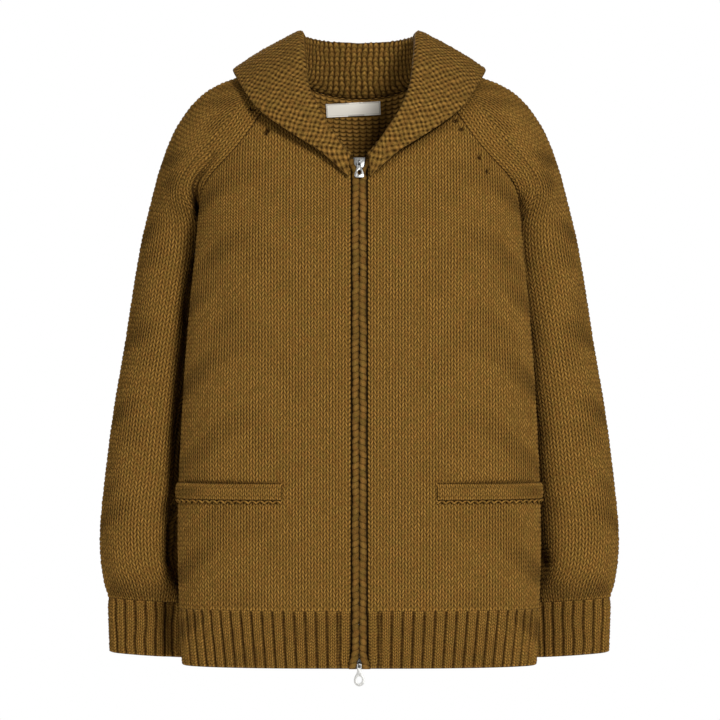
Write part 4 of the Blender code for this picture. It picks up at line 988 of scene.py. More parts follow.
    def inner_skin(self, base: Array, kind: Array, value: Array, yarn: Array,
                   ends: Array) -> Skin:
        """The inner face: fewer rows and columns of the same lattice, one thickness further in."""
        row_step, step = self.inner_rows, self.inner_columns or len(self.gauge.columns)
        run, kind, value = base[::row_step, ::step], kind[::step], value[::step]
        place, fade = self.across(run, kind, value)
        yarn, ends = yarn[::row_step, ::step], ends[::row_step]
        relief = self.inner_gauge.relief(yarn[..., 0], yarn[..., 1]) * fade * ends * (row_step == 1)
        depth = self.table.thickness(run) - self.shaped(run, place)
        points, outwards = self.table.at(run, place)
        return Skin(points - outwards * (depth + relief)[..., None], yarn)

    def shaped(self, run: Array, place: Array) -> Array:
        """The creases, and the dips into the seams: bell curves 3 mm wide along the edges."""
        low, high = self.table.edges(run)
        if self.closed:
            place = low + (place - low + 1e-9) % (high - low)
        far = np.minimum(run, self.table.run[-1] - run)
        dip = (self.low_groove * np.exp(-((place - low) / GROOVE_WIDTH)**2)
               + self.high_groove * np.exp(-((high - place) / GROOVE_WIDTH)**2)
               + self.end_groove * np.exp(-(far / END_GROOVE_WIDTH)**2))
        return creased([*self.creases, *self.holes], run, place) - dip

    def build(self, finishes: Sequence, slot: str, *nodes: str) -> None:
        """The closed wall as one declared piece: both faces and the rims between them."""
        outer, inner = self.skins()
        shape, small = outer.points.shape[:2], inner.points.shape[:2]
        first_inner = shape[0] * shape[1]
        over = np.arange(first_inner).reshape(shape)
        under = first_inner + np.arange(small[0] * small[1]).reshape(small)
        faces = [grid_triangles(outer.points, 0), grid_triangles(inner.points, first_inner)[:, ::-1]]
        inside = [np.zeros(len(faces[0]), bool), np.ones(len(faces[1]), bool)]
        rims = [rim_triangles(over[0], under[0]), rim_triangles(over[-1], under[-1])[:, ::-1]]
        if not self.closed:
            rims += [rim_triangles(over[:, -1], under[:, -1]),
                     rim_triangles(over[:, 0], under[:, 0])[:, ::-1]]
        faces += rims
        inside += [np.zeros(len(rim), bool) for rim in rims]
        corners = np.concatenate(faces)
        points = np.concatenate([outer.points.reshape(-1, 3), inner.points.reshape(-1, 3)])
        yarn = np.concatenate([outer.yarn.reshape(-1, 2), inner.yarn.reshape(-1, 2)])
        mesh = mesh_from(self.name, points, corners, yarn, np.concatenate(inside))
        declare(put(self.name, mesh, finishes), self.table, slot, *nodes)


# ---- the collar's form -----------------------------------------------
FOLD_STEP = 3.0             # the fold is the fourth of the seven points that shape a section
COLLAR_READ = (0, 0.9, 1.6, 2.1, 2.55, 3.0, 3.45, 3.9, 4.5, 5.2, 6.0)
STITCH_CLEARANCE = 0.0008   # the panels' stitches stand this far out under the collar


def neckline_points(pattern: Pattern) -> tuple:
    """Points where the collar is sewn on, from the middle of the back to the top of the zip.

    Args:
        pattern: the panels' tables.

    Returns:
        Outer points, inner points, and points of the cloth just inside the outer ones.
    """
    zip_place = (ZIP_TOP - ARMPIT_LEVEL) / (FRONT_SHOULDER - ARMPIT_LEVEL)
    last = FINE_ROWS - 1
    places = pattern.tube_rows + np.linspace(zip_place, 1, 6) * last
    back_parts = np.arange(10, 0, -1) / 20
    sleeve_parts = np.arange(16, -1, -2) / 16
    taken = [
        (pattern.back, np.full(10, places[-1]), back_parts, np.full(10, places[-2]), back_parts),
        (pattern.sleeve, np.full(9, places[-1]), sleeve_parts, np.full(9, places[-2]), sleeve_parts),
        (pattern.front, places[::-1], np.zeros(6), places[::-1], np.full(6, 1 / FRONT_COLUMNS)),
    ]
    outer, inner, beside = [], [], []
    for table, rows, parts, near_rows, near_parts in taken:
        points, outwards = table.at_grid(rows, parts)
        outer.append(points)
        inner.append(points - outwards * WALL)
        beside.append(table.at_grid(near_rows, near_parts)[0])
    return np.concatenate(outer), np.concatenate(inner), np.concatenate(beside)


def softened(vectors: Array, rounds: int = 2) -> Array:
    """Directions evened out along the line."""
    for _ in range(rounds):
        inside = (vectors[:-2] + 2 * vectors[1:-1] + vectors[2:]) / 4
        vectors = np.vstack([vectors[:1], inside, vectors[-1:]])
    return unit(vectors)


def skin_tree(grids: Sequence) -> BVHTree:
    """A search tree over some grids of points, read at every third row and fourth column."""
    points, faces = [], []
    for whole in grids:
        grid = whole[::3, ::4]
        rows, columns = grid.shape[:2]
        index = len(points) + np.arange(rows * columns).reshape(rows, columns)
        quads = np.stack([index[:-1, :-1], index[:-1, 1:], index[1:, 1:], index[1:, :-1]], -1)
        points.extend(map(Vector, grid.reshape(-1, 3)))
        faces.extend(quads.reshape(-1, 4).tolist())
    return BVHTree.FromPolygons(points, faces)


def lifted_clear(points: Array, tree: BVHTree, clearance: Array) -> Array:
    """Points nearer to the panels than the clearance, or under them, are moved out to it."""
    cleared = points.copy()
    for index, (point, need) in enumerate(zip(points, clearance)):
        nearest, normal, _, _ = tree.find_nearest(Vector(point))
        short = need - (Vector(point) - nearest).dot(normal)
        if short > 0:
            cleared[index] = point + np.array(normal) * short
    return cleared


def collar_table(pattern: Pattern) -> ClothTable:
    """The whole collar, read round the neck (rows) and from its foot over the fold to its edge (columns).

    Each section is a smooth curve through foot, stand, before the fold, fold, after it, crown and edge. Its
    visible face lies half a wall in front of that curve, and distances across are counted from the fold.
    """
    outer, inner, beside = neckline_points(pattern)
    along = unit(np.gradient(outer, axis=0))
    onward = unit(np.cross(along, unit(inner - outer)))
    onward *= np.sign(np.sum(onward * (outer - beside), axis=1, keepdims=True))
    steps = np.linalg.norm(np.diff(outer, axis=0), axis=1)
    place = np.concatenate([[0], np.cumsum(steps)]) / steps.sum()
    fold, edge, bend, wall = (curve(COLLAR_ROLLS, name, place) for name in ("fold", "edge", "bend", "wall"))
    bend = bend[:, None]
    foot = (outer + inner) / 2 + onward * SEAM_GAP
    rise = unit(fold - (foot + edge) / 2)
    over = edge - foot
    over = unit(over - rise * np.sum(over * rise, axis=1, keepdims=True))
    height = np.linalg.norm(fold - foot, axis=1, keepdims=True)
    stand = foot + softened(onward) * height * 0.30
    before, after = fold - over * bend - rise * bend * 1.2, fold + over * bend - rise * bend * 1.2
    crown = (after + edge) / 2 + over * bend * 0.5
    shape = np.stack([foot, stand, before, fold, after, crown, edge], axis=1)
    rows = np.stack([smooth(np.arange(7), section, COLLAR_READ) for section in shape])
    tree = skin_tree([pattern.front.points, pattern.back.points, pattern.sleeve.points])
    for step, read in enumerate(COLLAR_READ):
        if read > FOLD_STEP:
            rows[:, step] = lifted_clear(rows[:, step], tree, wall / 2 + COLLAR_CLEARANCE + STITCH_CLEARANCE)
    whole = np.concatenate([mirrored(rows[:0:-1]), rows])
    whole_place = np.concatenate([-place[:0:-1], place])
    whole_wall = np.concatenate([wall[:0:-1], wall])
    foot_out = np.concatenate([mirrored((outer - inner)[:0:-1]), outer - inner])

    fine_place, fine_read = np.linspace(-1, 1, COLLAR_ROWS), np.linspace(0, COLLAR_READ[-1], FINE_COLUMNS)
    fine = smooth(whole_place, whole, fine_place)
    fine = np.stack([smooth(COLLAR_READ, section, fine_read) for section in fine])
    fine_wall = np.interp(fine_place, whole_place, whole_wall)
    length = lengths_along(fine)
    stand_length = length[:, MIDDLE]
    fold_run = run_of(fine, MIDDLE)
    fine = read_rows(np.linspace(0, 1, FINE_COLUMNS), length / length[:, -1:], fine)
    facing = -grid_normals(fine)
    feet = -unit(smooth(whole_place, foot_out, fine_place))
    facing = eased_to(facing, feet, length[:, -1], last=False)
    fine = fine + facing * fine_wall[:, None, None] / 2
    return ClothTable(fine, facing, length[:, -1], -stand_length, fold_run, fine_wall)


# ---- finishes --------------------------------------------------------
def linear(colour: str) -> tuple:
    """An sRGB hex colour as linear red, green, blue and alpha."""
    parts = [int(colour[start:start + 2], 16) / 255 for start in (1, 3, 5)]
    return (*[((c + 0.055) / 1.055)**2.4 if c > 0.04045 else c / 12.92 for c in parts], 1.0)


def feed(node: Node, inputs: dict) -> None:
    """Give a node's inputs their values, or link the sockets that feed them."""
    for key, value in inputs.items():
        if isinstance(value, NodeSocket):
            node.id_data.links.new(value, node.inputs[key])
        else:
            node.inputs[key].default_value = value


def add_node(tree: NodeTree, kind: str, *values: float | NodeSocket, inputs: dict | None = None,
             out: int | str = 0, **settings: object) -> NodeSocket:
    """Add a shader node with its settings and links.

    Args:
        tree: where it goes.
        kind: its type without "ShaderNode", and after a blank its operation.
        values: for its first inputs, values or the sockets that feed them.
        inputs: the same for inputs by name or number.
        out: the output that is wanted.
        settings: the node's own properties.

    Returns:
        That output.
    """
    kind, _, operation = kind.partition(" ")
    node = tree.nodes.new("ShaderNode" + kind)
    if operation:
        node.operation = operation
    for name, value in settings.items():
        setattr(node, name, value)
    feed(node, dict(enumerate(values)) | (inputs or {}))
    return node.outputs[out]


def blank_material(name: str) -> tuple:
    """A new material, its shader, and add_node for its nodes."""
    made = bpy.data.materials.new(name)
    made.use_nodes = True
    return made, made.node_tree.nodes["Principled BSDF"], partial(add_node, made.node_tree)


COLOURS = {"out": 2, "data_type": "RGBA"}       # of a Mix node whose inputs 6 and 7 are colours


class Loop(Enum):
    """The shapes of yarn that a knitted surface shows."""

    LEG = "legs of V stitches"
    RIB = "legs of V stitches on ridges, two wales to each"
    PEBBLE = "knit and purl bumps by turns"
    ARC = "purl arcs"


@dataclass(frozen=True)
class WoolFinish:
    """Lambswool in a heather of olive, brown and rust, woollen spun, plied and hand-framed at a bulky gauge.

    What it gives the eye: matt, with a soft halo of short fibres, its tone changing stitch by stitch, and
    nearly black between the stitches and in narrow hollows, where painted shade is mixed into the colour.
    """

    name: str
    loop: Loop
    yarn: str = "#52380f"
    light: str = "#b3863f"
    olive: str = "#7a692b"
    rust: str = "#96622c"
    # painted shade: the dark colour mixed in between the stitches, in their holes and in hollows
    painted_shade: str = "#251400"
    fibre_mm: float = 1.1       # drawn coarser than a real fibre, so that it shows
    patch_mm: float = 9.0
    tone_mm: float = 40.0
    bump_mm: float = 0.9
    painted_shade_reach_mm: float = 30.0     # painted shade: ambient occlusion darkens hollows narrower than this towards the painted shade colour

    def wave(self, add: Callable, value: NodeSocket, turns: float, power: float = 1.0) -> NodeSocket:
        """The size of a sine, |sin(value * turns * pi)|, raised to a power."""
        sine = add("Math SINE", add("Math MULTIPLY", value, turns * math.pi))
        sized = add("Math ABSOLUTE", sine)
        return sized if power == 1.0 else add("Math POWER", sized, power)

    def shared(self, add: Callable, value: NodeSocket, low: float) -> NodeSocket:
        """A value from 0 to 1 squeezed into low to 1."""
        return add("Math MULTIPLY_ADD", value, 1 - low, low)

    def roundness(self, add: Callable, u: NodeSocket, v: NodeSocket) -> NodeSocket:
        """The yarn's roundness from the stitch coordinates: 0 in the gaps and 1 on its crest.

        Args:
            add: adds a node to the material.
            u: wales across.
            v: knitted rows.

        Returns:
            For legs, a wave across each leg by one along it. Ribs also have a purl valley in the third wale.
            Pebbles are an egg crate, and below zero across stacked columns. Arcs are rows of scallops.
        """
        if self.loop is Loop.ARC:
            arch = self.wave(add, u, 1.0)
            scallop = self.wave(add, add("Math MULTIPLY_ADD", arch, 0.34, v), 1.0, 0.7)
            return add("Math MULTIPLY", scallop, self.shared(add, add("Math POWER", arch, 0.5), 0.35))
        if self.loop is Loop.PEBBLE:
            sines = [add("Math SINE", add("Math MULTIPLY", value, turns * math.pi))
                     for value, turns in ((u, 1.0), (v, 2.0))]
            crate = add("Math POWER", add("Math MULTIPLY_ADD", add("Math MULTIPLY", *sines),
                                                 0.5, 0.5), 0.55)
            groove = self.wave(add, v, 1.0, 0.6)
            part = add("Math FRACT", v)
            lean = add("Math ABSOLUTE", add("Math SUBTRACT", part, 0.5))
            bump = self.wave(add, add("Math MULTIPLY_ADD", u, 0.75, lean), 1.0, 0.7)
            stacked = add("Math MULTIPLY", groove, self.shared(add, bump, 0.40))
            stand = add("Math LESS_THAN", u, 0.0)
            return add("Mix", stand, inputs={2: crate, 3: stacked}, data_type="FLOAT")
        across, along = self.wave(add, v, 1.0, 0.6), self.wave(add, u, 2.0, 0.6)
        hole = add("Math MULTIPLY", *(add("Math SUBTRACT", 1.0, value) for value in (across, along)))
        leg = add("Math MULTIPLY", self.shared(add, across, 0.42), self.shared(add, along, 0.30))
        leg = add("Math MULTIPLY", leg, add("Math MULTIPLY_ADD", hole, -0.90, 1.0))
        if self.loop is Loop.RIB:
            # painted shade in the purl valley of every third wale: lower roundness there, a dip for the bump
            # and dark for the colour
            third = add("Math FRACT", add("Math DIVIDE", u, 3.0))
            painted_shade = add("Math MULTIPLY", add("Math SUBTRACT", third, 2 / 3), 3 * math.pi)
            painted_shade = add("Math MAXIMUM", add("Math SINE", painted_shade), 0.0)
            painted_shade = add("Math MULTIPLY", painted_shade, add("Math GREATER_THAN", third, 2 / 3))
            leg = add("Math MULTIPLY", leg, add("Math MULTIPLY_ADD", painted_shade, -0.80, 1.0))
        return leg

    def build(self) -> Material:
        """The material: colour, painted shade and bump from stitch coordinates, object-space noise and
        occlusion.
        """
        made, shader, add = blank_material(self.name)
        u, v, _ = add("SeparateXYZ", add("UVMap", uv_map="stitch")).node.outputs
        roundness = self.roundness(add, u, v)
        place = add("TexCoord", out="Object")
        fibre, patch, tone = (add("TexNoise", out="Fac", inputs={
            "Vector": place, "Scale": 1000 / size_mm, "Detail": detail, "Roughness": 0.62})
            for size_mm, detail in ((self.fibre_mm, 3.0), (self.patch_mm, 2.0), (self.tone_mm, 3.0)))
        patch, tone = add("MapRange", patch, 0.38, 0.62), add("MapRange", tone, 0.35, 0.65)
        halves = 1.0 if self.loop in (Loop.PEBBLE, Loop.ARC) else 2.0
        cell = add("CombineXYZ", add("Math FLOOR", add("Math MULTIPLY", u, halves)), add("Math FLOOR", v))
        stitch = add("TexWhiteNoise", inputs={"Vector": cell}, out="Value", noise_dimensions="2D")
        heather = add("Math ADD", add("Math MULTIPLY", stitch, 0.45),
                         add("Math MULTIPLY", add("MapRange", fibre, 0.34, 0.66), 0.55))
        wool = add("Mix", heather, inputs={6: linear(self.yarn), 7: linear(self.light)}, **COLOURS)
        tint = add("Mix", patch, inputs={6: linear(self.olive), 7: linear(self.rust)}, **COLOURS)
        tinted = add("Math MULTIPLY_ADD", tone, 0.14, 0.08)
        wool = add("Mix", tinted, inputs={6: wool, 7: tint}, **COLOURS)
        # painted shade: the dark colour is mixed in where roundness is low, between the stitches and in their
        # holes
        unshaded_share = add("Math POWER", add("Math MAXIMUM", roundness, 0.01),
                            add("Math MULTIPLY_ADD", stitch, 1.5, 0.85))
        # painted shade in hollows: ambient occlusion, such as between a sleeve and the body, darkens the
        # colour further
        sky = add("AmbientOcclusion", inputs={"Distance": self.painted_shade_reach_mm / 1000}, out="AO", samples=8)
        unshaded_share = add("Math MULTIPLY", unshaded_share, add("MapRange", sky, 0.12, 0.66))
        colour = add("Mix", unshaded_share, inputs={6: linear(self.painted_shade), 7: wool}, **COLOURS)
        slant = add("Math ADD", add("Math MULTIPLY", u, 22.0), add("Math MULTIPLY", v, 9.0))
        height = add("Math MULTIPLY_ADD", add("Math SINE", slant), 0.08, roundness)
        height = add("Math MULTIPLY_ADD", fibre, 0.34, height)
        bump = add("Bump", inputs={"Strength": 0.8, "Distance": self.bump_mm / 1000, "Height": height})
        feed(shader, {"Base Color": colour, "Roughness": 0.95, "Specular IOR Level": 0.08,
                            "Sheen Weight": 0.05, "Sheen Roughness": 0.55, "Sheen Tint": linear("#b08a4c"),
                            "Normal": bump})
        return made


@dataclass(frozen=True)
class MetalFinish:
    """Die-cast zinc with bright nickel plating: pale, mirror-like where flat and slightly orange-peeled.

    What it gives the eye: crisp light and dark reflections along the bevels, with faint handling scratches.
    """

    name: str = "nickel plated zinc, die cast"
    colour: str = "#666665"
    roughness: float = 0.36
    scratch_mm: float = 0.7

    def build(self) -> Material:
        """The material: a metal whose roughness and bump follow fine noise."""
        made, shader, add = blank_material(self.name)
        place = add("TexCoord", out="Object")
        long = add("Mapping", inputs={"Vector": place, "Scale": (1.0, 1.0, 0.22)})
        wear = add("TexNoise", out="Fac",
                   inputs={"Vector": long, "Scale": 1000 / self.scratch_mm, "Detail": 4.0})
        rough = add("MapRange", wear, 0.35, 0.75, self.roughness - 0.06, self.roughness + 0.14)
        tone = add("Mix", wear, inputs={6: linear(self.colour), 7: linear("#8d8c89")}, **COLOURS)
        bump = add("Bump", inputs={"Strength": 0.05, "Distance": 0.0001, "Height": wear})
        feed(shader, {"Base Color": tone, "Roughness": rough, "Metallic": 1.0,
                            "Normal": bump})
        return made


@dataclass(frozen=True)
class WovenFinish:
    """Polyester thread woven in narrow bands: the zip's tape, in twill, and the label, in damask.

    What it gives the eye: a fine even rib of threads with a faint shine, flatter than the wool round it.
    """

    name: str
    colour: str
    shade: str
    thread_mm: float
    roughness: float
    shine: float = 0.0
    border: bool = False        # a darker line woven inside the edge, read from the stitch map

    def build(self) -> Material:
        """The material: two crossed waves of threads in object space, darker in the weave's dips as painted
        shade.
        """
        made, shader, add = blank_material(self.name)
        x, _, z = add("SeparateXYZ", add("TexCoord", out="Object")).node.outputs
        turns = 2000 * math.pi / self.thread_mm
        warp = add("Math SINE", add("Math MULTIPLY", x, turns))
        weft = add("Math SINE", add("Math MULTIPLY", z, turns * 0.8))
        weave = add("Math MULTIPLY", add("Math ADD", warp, weft), 0.5)
        # painted shade: the colour goes towards the shade colour where the weave lies low
        share = add("Math MULTIPLY_ADD", weave, 0.35, 0.5)
        colour = add("Mix", share, inputs={6: linear(self.shade), 7: linear(self.colour)}, **COLOURS)
        if self.border:
            across, up, _ = add("SeparateXYZ", add("UVMap", uv_map="stitch")).node.outputs
            line = add("Math COMPARE", add("Math MINIMUM", across, up), 1.35, 0.28)
            line = add("Math MULTIPLY", line, 0.55)
            colour = add("Mix", line, inputs={6: colour, 7: linear("#8d8878")}, **COLOURS)
        bump = add("Bump", inputs={"Strength": 0.5, "Distance": 0.0002, "Height": weave})
        feed(shader, {"Base Color": colour, "Roughness": self.roughness, "Specular IOR Level": 0.10,
                            "Sheen Weight": self.shine, "Normal": bump})
        return made


@dataclass
class Finishes:
    """Every finish of the cardigan, made once."""

    knit: Material = field(default_factory=lambda: WoolFinish(
        "woollen spun wool, stockinette face", Loop.LEG).build())
    purl: Material = field(default_factory=lambda: WoolFinish(
        "woollen spun wool, purl face", Loop.ARC, yarn="#5e4114", light="#c6954a", bump_mm=0.7).build())
    rib: Material = field(default_factory=lambda: WoolFinish(
        "woollen spun wool, two by two rib", Loop.RIB, bump_mm=0.6).build())
    seed: Material = field(default_factory=lambda: WoolFinish(
        "woollen spun wool, seed stitch", Loop.PEBBLE, yarn="#3d290b", light="#ad823d").build())
    roll: Material = field(default_factory=lambda: WoolFinish(
        "woollen spun wool, rolled edge", Loop.LEG, yarn="#453010", light="#7f5e2b").build())
    metal: Material = field(default_factory=lambda: MetalFinish().build())
    bright: Material = field(default_factory=lambda: MetalFinish(
        "nickel plated zinc, polished", colour="#fbfbf8", roughness=0.46).build())
    tape: Material = field(default_factory=lambda: WovenFinish(
        "polyester zip tape, woven twill", "#3b2b10", "#241a09", 0.9, 0.95).build())
    label: Material = field(default_factory=lambda: WovenFinish(
        "polyester label, woven damask", "#fffaf0", "#efe8d8", 0.55, 0.7, 0.15, border=True).build())


# ---- sub-assemblies --------------------------------------------------
def belong(piece: Object, slot: str, *nodes: str, body: str = "garment") -> None:
    """Ride and replaced nodes of one piece, which is reported."""
    log.info("%s: %d faces", piece.name, len(piece.data.polygons))
    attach(piece, body)
    if nodes:
        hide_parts(*nodes)


def declare(piece: Object, table: ClothTable, slot: str, *nodes: str) -> None:
    """Ride and replaced nodes of one panel.

    Args:
        piece: the panel's mesh.
        table: the form it was laid over; not used.
        slot: the material slot; not used.
        nodes: the solids that it stands for.
    """
    belong(piece, slot, *nodes)


JOINED_BELOW, JOINED_ABOVE = (False, True), (True, False)


def front_creases() -> list:
    """Soft drape of a front: along the pocket bag's edges, up from the pocket and across the chest."""
    return [
        Crease((0.1428, 0.1443), (0.078, 0.200), 0.0028, -0.0060),
        Crease((0.010, 0.130), (0.064, 0.062), 0.0030, 0.0009),
        Crease((0.010, 0.120), (0.163, 0.170), 0.0040, -0.0008),
        Crease((0.180, 0.330), (0.060, 0.085), 0.0220, -0.0022),
        Crease((0.300, 0.440), (0.150, 0.175), 0.0180, -0.0026),
        Crease((0.350, 0.470), (0.120, 0.095), 0.0200, 0.0020),
        Crease((0.020, 0.100), (0.030, 0.036), 0.0180, -0.0014),
        Crease((0.160, 0.260), (0.165, 0.150), 0.0200, 0.0018),
    ]


@dataclass
class Panels:
    """The two fronts, the back and the two sleeves, in stockinette with fully fashioned raglans."""

    pattern: Pattern
    finishes: Finishes
    gauge: Stockinette = Stockinette()
    sleeve_gauge: Stockinette = Stockinette(repeat=0.0078, row=0.0055)
    raglan_band: int = 4
    groove: float = 0.0004
    zip_groove: float = 0.0013
    hole: tuple = (0.0028, -0.0080)     # half width and depth of a fashioning hole
    hole_inset: float = 0.0012          # how far they lie off the wales' turning places

    def holes(self, side: str, sleeve: bool) -> list:
        """Fashioning holes left where wales were knitted away beside the front raglan seams."""
        places = {("left", False): ((0.5814, 0.1026), (0.5703, 0.1100), (0.5361, 0.1318), (0.5176, 0.1420)),
                  ("right", False): ((0.5695, 0.0968), (0.5655, 0.1000)),
                  ("right", True): ((0.6214, -0.0931),)}.get((side, sleeve), ())
        shift = self.hole_inset if not sleeve else -self.hole_inset
        return [Crease((run - 0.0006, run + 0.0006), (across - shift, across - shift), *self.hole)
                for run, across in places]

    def back_creases(self) -> list:
        """Soft drape of the back: between the shoulder blades and above the hem."""
        return [
            Crease((0.300, 0.470), (0.150, 0.090), 0.0220, -0.0028),
            Crease((0.310, 0.460), (-0.165, -0.100), 0.0240, -0.0026),
            Crease((0.100, 0.330), (0.050, 0.035), 0.0260, -0.0022),
            Crease((0.060, 0.280), (-0.075, -0.060), 0.0240, -0.0020),
            Crease((0.020, 0.140), (0.120, 0.130), 0.0200, 0.0022),
            Crease((0.030, 0.120), (-0.140, -0.125), 0.0180, 0.0020),
            Crease((0.400, 0.520), (-0.020, 0.010), 0.0260, -0.0020),
        ]

    def sleeve_creases(self, side: str) -> list:
        """Folds of a sleeve: above the cuff, slanting at the elbow and under the arm, and beside the body."""
        pressed, free = (
            [Crease((0.036, 0.104), (-0.134, -0.146), 0.0195, -0.0350),
             Crease((0.098, 0.350), (-0.139, -0.124), 0.0185, -0.0310),
             Crease((0.340, 0.430), (-0.112, -0.114), 0.0110, -0.0130),
             Crease((0.440, 0.546), (-0.119, -0.1055), 0.0056, -0.0125)],
            [Crease((0.030, 0.072), (-0.126, -0.145), 0.0180, -0.0120),
             Crease((0.100, 0.350), (-0.146, -0.131), 0.0180, -0.0120)])
        return (pressed if side == "right" else free) + [
            Crease((0.012, 0.060), (-0.075, -0.060), 0.0100, -0.0014),
            Crease((0.010, 0.070), (-0.030, -0.022), 0.0120, -0.0012),
            Crease((0.012, 0.070), (0.020, 0.034), 0.0110, -0.0022),
            Crease((0.010, 0.085), (0.066, 0.060), 0.0120, -0.0026),
            Crease((0.205, 0.250), (0.050, 0.110), 0.0150, -0.0030),
            Crease((0.270, 0.330), (-0.030, -0.050), 0.0260, -0.0020),
            Crease((0.380, 0.450), (0.075, 0.125), 0.0160, -0.0036),
            Crease((0.300, 0.400), (-0.020, 0.010), 0.0240, 0.0022),
        ]

    def build(self) -> None:
        skins = (self.finishes.knit, self.finishes.purl)
        raglans = {"low_band": self.raglan_band, "high_band": self.raglan_band, "low_groove": self.groove,
                   "high_groove": self.groove, "round_ends": JOINED_BELOW}
        for side, front, sleeve in (("left", self.pattern.front, self.pattern.sleeve),
                                    ("right", self.pattern.front.mirror(), self.pattern.sleeve.mirror())):
            Lattice(f"front_{side}_knit", front, self.gauge, low_groove=self.zip_groove,
                    high_groove=self.groove, creases=front_creases(), holes=self.holes(side, False),
                    round_ends=JOINED_BELOW).build(skins, "wool_knit", f"front_{side}")
            Lattice(f"sleeve_{side}_knit", sleeve, self.sleeve_gauge, creases=self.sleeve_creases(side),
                    holes=self.holes(side, True), **raglans).build(skins, "wool_knit", f"sleeve_{side}")
        Lattice("back_knit", self.pattern.back, Stockinette(rows=(0.0, 0.5)), creases=self.back_creases(),
                inner_rows=1, **raglans).build(skins, "wool_knit", "back")


@dataclass
class Ribbing:
    """Hem rib of the fronts and the back, and the two cuffs."""

    pattern: Pattern
    finishes: Finishes
    gauge: TwoByTwoRib = TwoByTwoRib()

    def build(self) -> None:
        skins = (self.finishes.rib, self.finishes.rib)
        middle = (HEM_LEVEL + RIB_TOP) / 2
        start = float(BODY.angle_at_reach(FRONT_EDGE, middle))
        front = self.pattern.hem_table(start, SIDE_SEAM)
        ribs = round((front.widths[0] - PLAIN_BAND) / RIB_PITCH)
        front_gauge = TwoByTwoRib(repeat=float(front.widths[0] - PLAIN_BAND) / ribs)
        seed = SeedStitch(repeat=0.005, row=0.0035, depth=0.0018)
        joined = {"sink": 0.55, "round_ends": JOINED_ABOVE, "rise": 0.012}
        for side, table in (("left", front), ("right", front.mirror())):
            Lattice(f"hem_front_{side}_rib", table, front_gauge, edge_width=PLAIN_BAND, edge_gauge=seed,
                    low_groove=0.0012, **joined).build(skins, "wool_rib", f"hem_front_{side}")
        back = self.pattern.hem_table(SIDE_SEAM, 360 - SIDE_SEAM)
        ribs = round(back.widths[0] / RIB_PITCH)
        Lattice("hem_back_rib", back, TwoByTwoRib(repeat=float(back.widths[0]) / ribs),
                **joined).build(skins, "wool_rib", "hem_back")
        cuff = self.pattern.cuff_table()
        ribs = round(cuff.widths[0] / CUFF_PITCH)
        cuff_gauge = TwoByTwoRib(repeat=float(cuff.widths[0]) / ribs)
        for side, table in (("left", cuff), ("right", cuff.mirror())):
            turned_in = [Crease((0.0, 0.070), (0.0280, 0.0280), 0.0092, -0.0100)] if side == "right" else ()
            Lattice(f"cuff_{side}_rib", table, cuff_gauge, closed=True, creases=turned_in,
                    **joined).build(skins, "wool_rib", f"cuff_{side}")


@dataclass
class Collar:
    """The shawl collar, seed stitch on both faces, folded over."""

    table: ClothTable
    finishes: Finishes
    gauge: SeedStitch = SeedStitch(stand=True)

    def build(self) -> None:
        Lattice("collar_knit", self.table, self.gauge, inner_gauge=self.gauge, inner_rows=1,
                inner_columns=1, low_groove=0.0008, sink=0.45
                ).build((self.finishes.seed, self.finishes.seed), "wool_knit", "collar")


@dataclass
class EdgeCords:
    """The fronts' rolled edges: they close over the zip and part round the lower slider."""

    finishes: Finishes
    stitch: float = 0.0073      # height of one stitch of the roll
    steps: int = 6              # rings to each stitch
    around: int = 16
    fullness: float = 1.02      # how much wider the roll is than its solid
    inwards: float = 0.0006     # how much nearer to the zip's middle they lie than at rest on the front
    swell: float = 0.12         # how much narrower the roll is between two stitches
    slant: float = 0.20         # how far a stitch leans across the roll, in stitches
    wander: float = 0.0006
    rise: float = 0.0125        # how far the roll goes on past the zip's top, up the lapel's edge
    flare: float = 0.0064       # how far it spreads there

    def build(self) -> None:
        """Build both rolls: ellipses carried along the front's edge, each stitch a leaning swelling."""
        length = CORD_TOP + self.rise - HEM_LEVEL
        count = round(length / self.stitch)
        part = np.linspace(0, count, count * self.steps + 1)
        heights = HEM_LEVEL + length * part / count
        opened = self.flare * soft_step((heights - CORD_TOP) / self.rise + 0.25)
        down = (CORD_PART - heights) / (CORD_PART - HEM_LEVEL)
        lift, spread = soft_step(down / 0.45), soft_step((down - 0.45) / 0.55)
        half_width = (CORD_HALF_WIDTH + CORD_FLARE * spread) * self.fullness
        turn = np.linspace(0, 2 * math.pi, self.around + 1)[:-1]
        for side, sign in (("left", 1.0), ("right", -1.0)):
            whole = np.arange(count + 1)
            sway = np.interp(part, whole, scatter(whole, whole * 0, 5.0 + sign)) * self.wander
            x = CORD_REACH - self.inwards * (1 - spread) + CORD_SPREAD * spread + opened + sway
            y = BODY.front_depth_at(heights, CORD_REACH) - CORD_PROUD + CORD_HALF_DEPTH - CORD_LIFT * lift
            phase = part[:, None] + self.slant * np.cos(turn) + 0.25 * (sign > 0)
            bulge = np.sin(math.pi * phase)**2
            uneven = 1 + 0.07 * scatter(np.floor(phase), np.floor(phase) * 0, 8.0 + sign)
            size = (1 - self.swell * (1 - bulge)) * uneven
            rings = np.stack([x[:, None] + size * half_width[:, None] * np.cos(turn),
                              y[:, None] + size * CORD_HALF_DEPTH * np.sin(turn),
                              np.broadcast_to(heights[:, None], size.shape)], axis=-1)
            row = np.floor(phase) + 0.23 + 0.54 * (phase % 1)
            yarn = np.stack([np.broadcast_to(0.25 + 0.21 * np.cos(turn), size.shape), row], axis=-1)
            rings = rings if sign > 0 else mirrored(rings)
            name = f"rolled_edge_{side}"
            piece = put(name, ring_mesh(name, rings, yarn), (self.finishes.roll,))
            belong(piece, "wool_knit", f"edge_cord_{side}")


def tape_depth(heights: Array) -> Array:
    """Where the front face of the zip's tape lies: on the inside of the fronts and of their hem rib."""
    return BODY.front_depth_at(heights, FRONT_EDGE) + WALL + SEAM_GAP


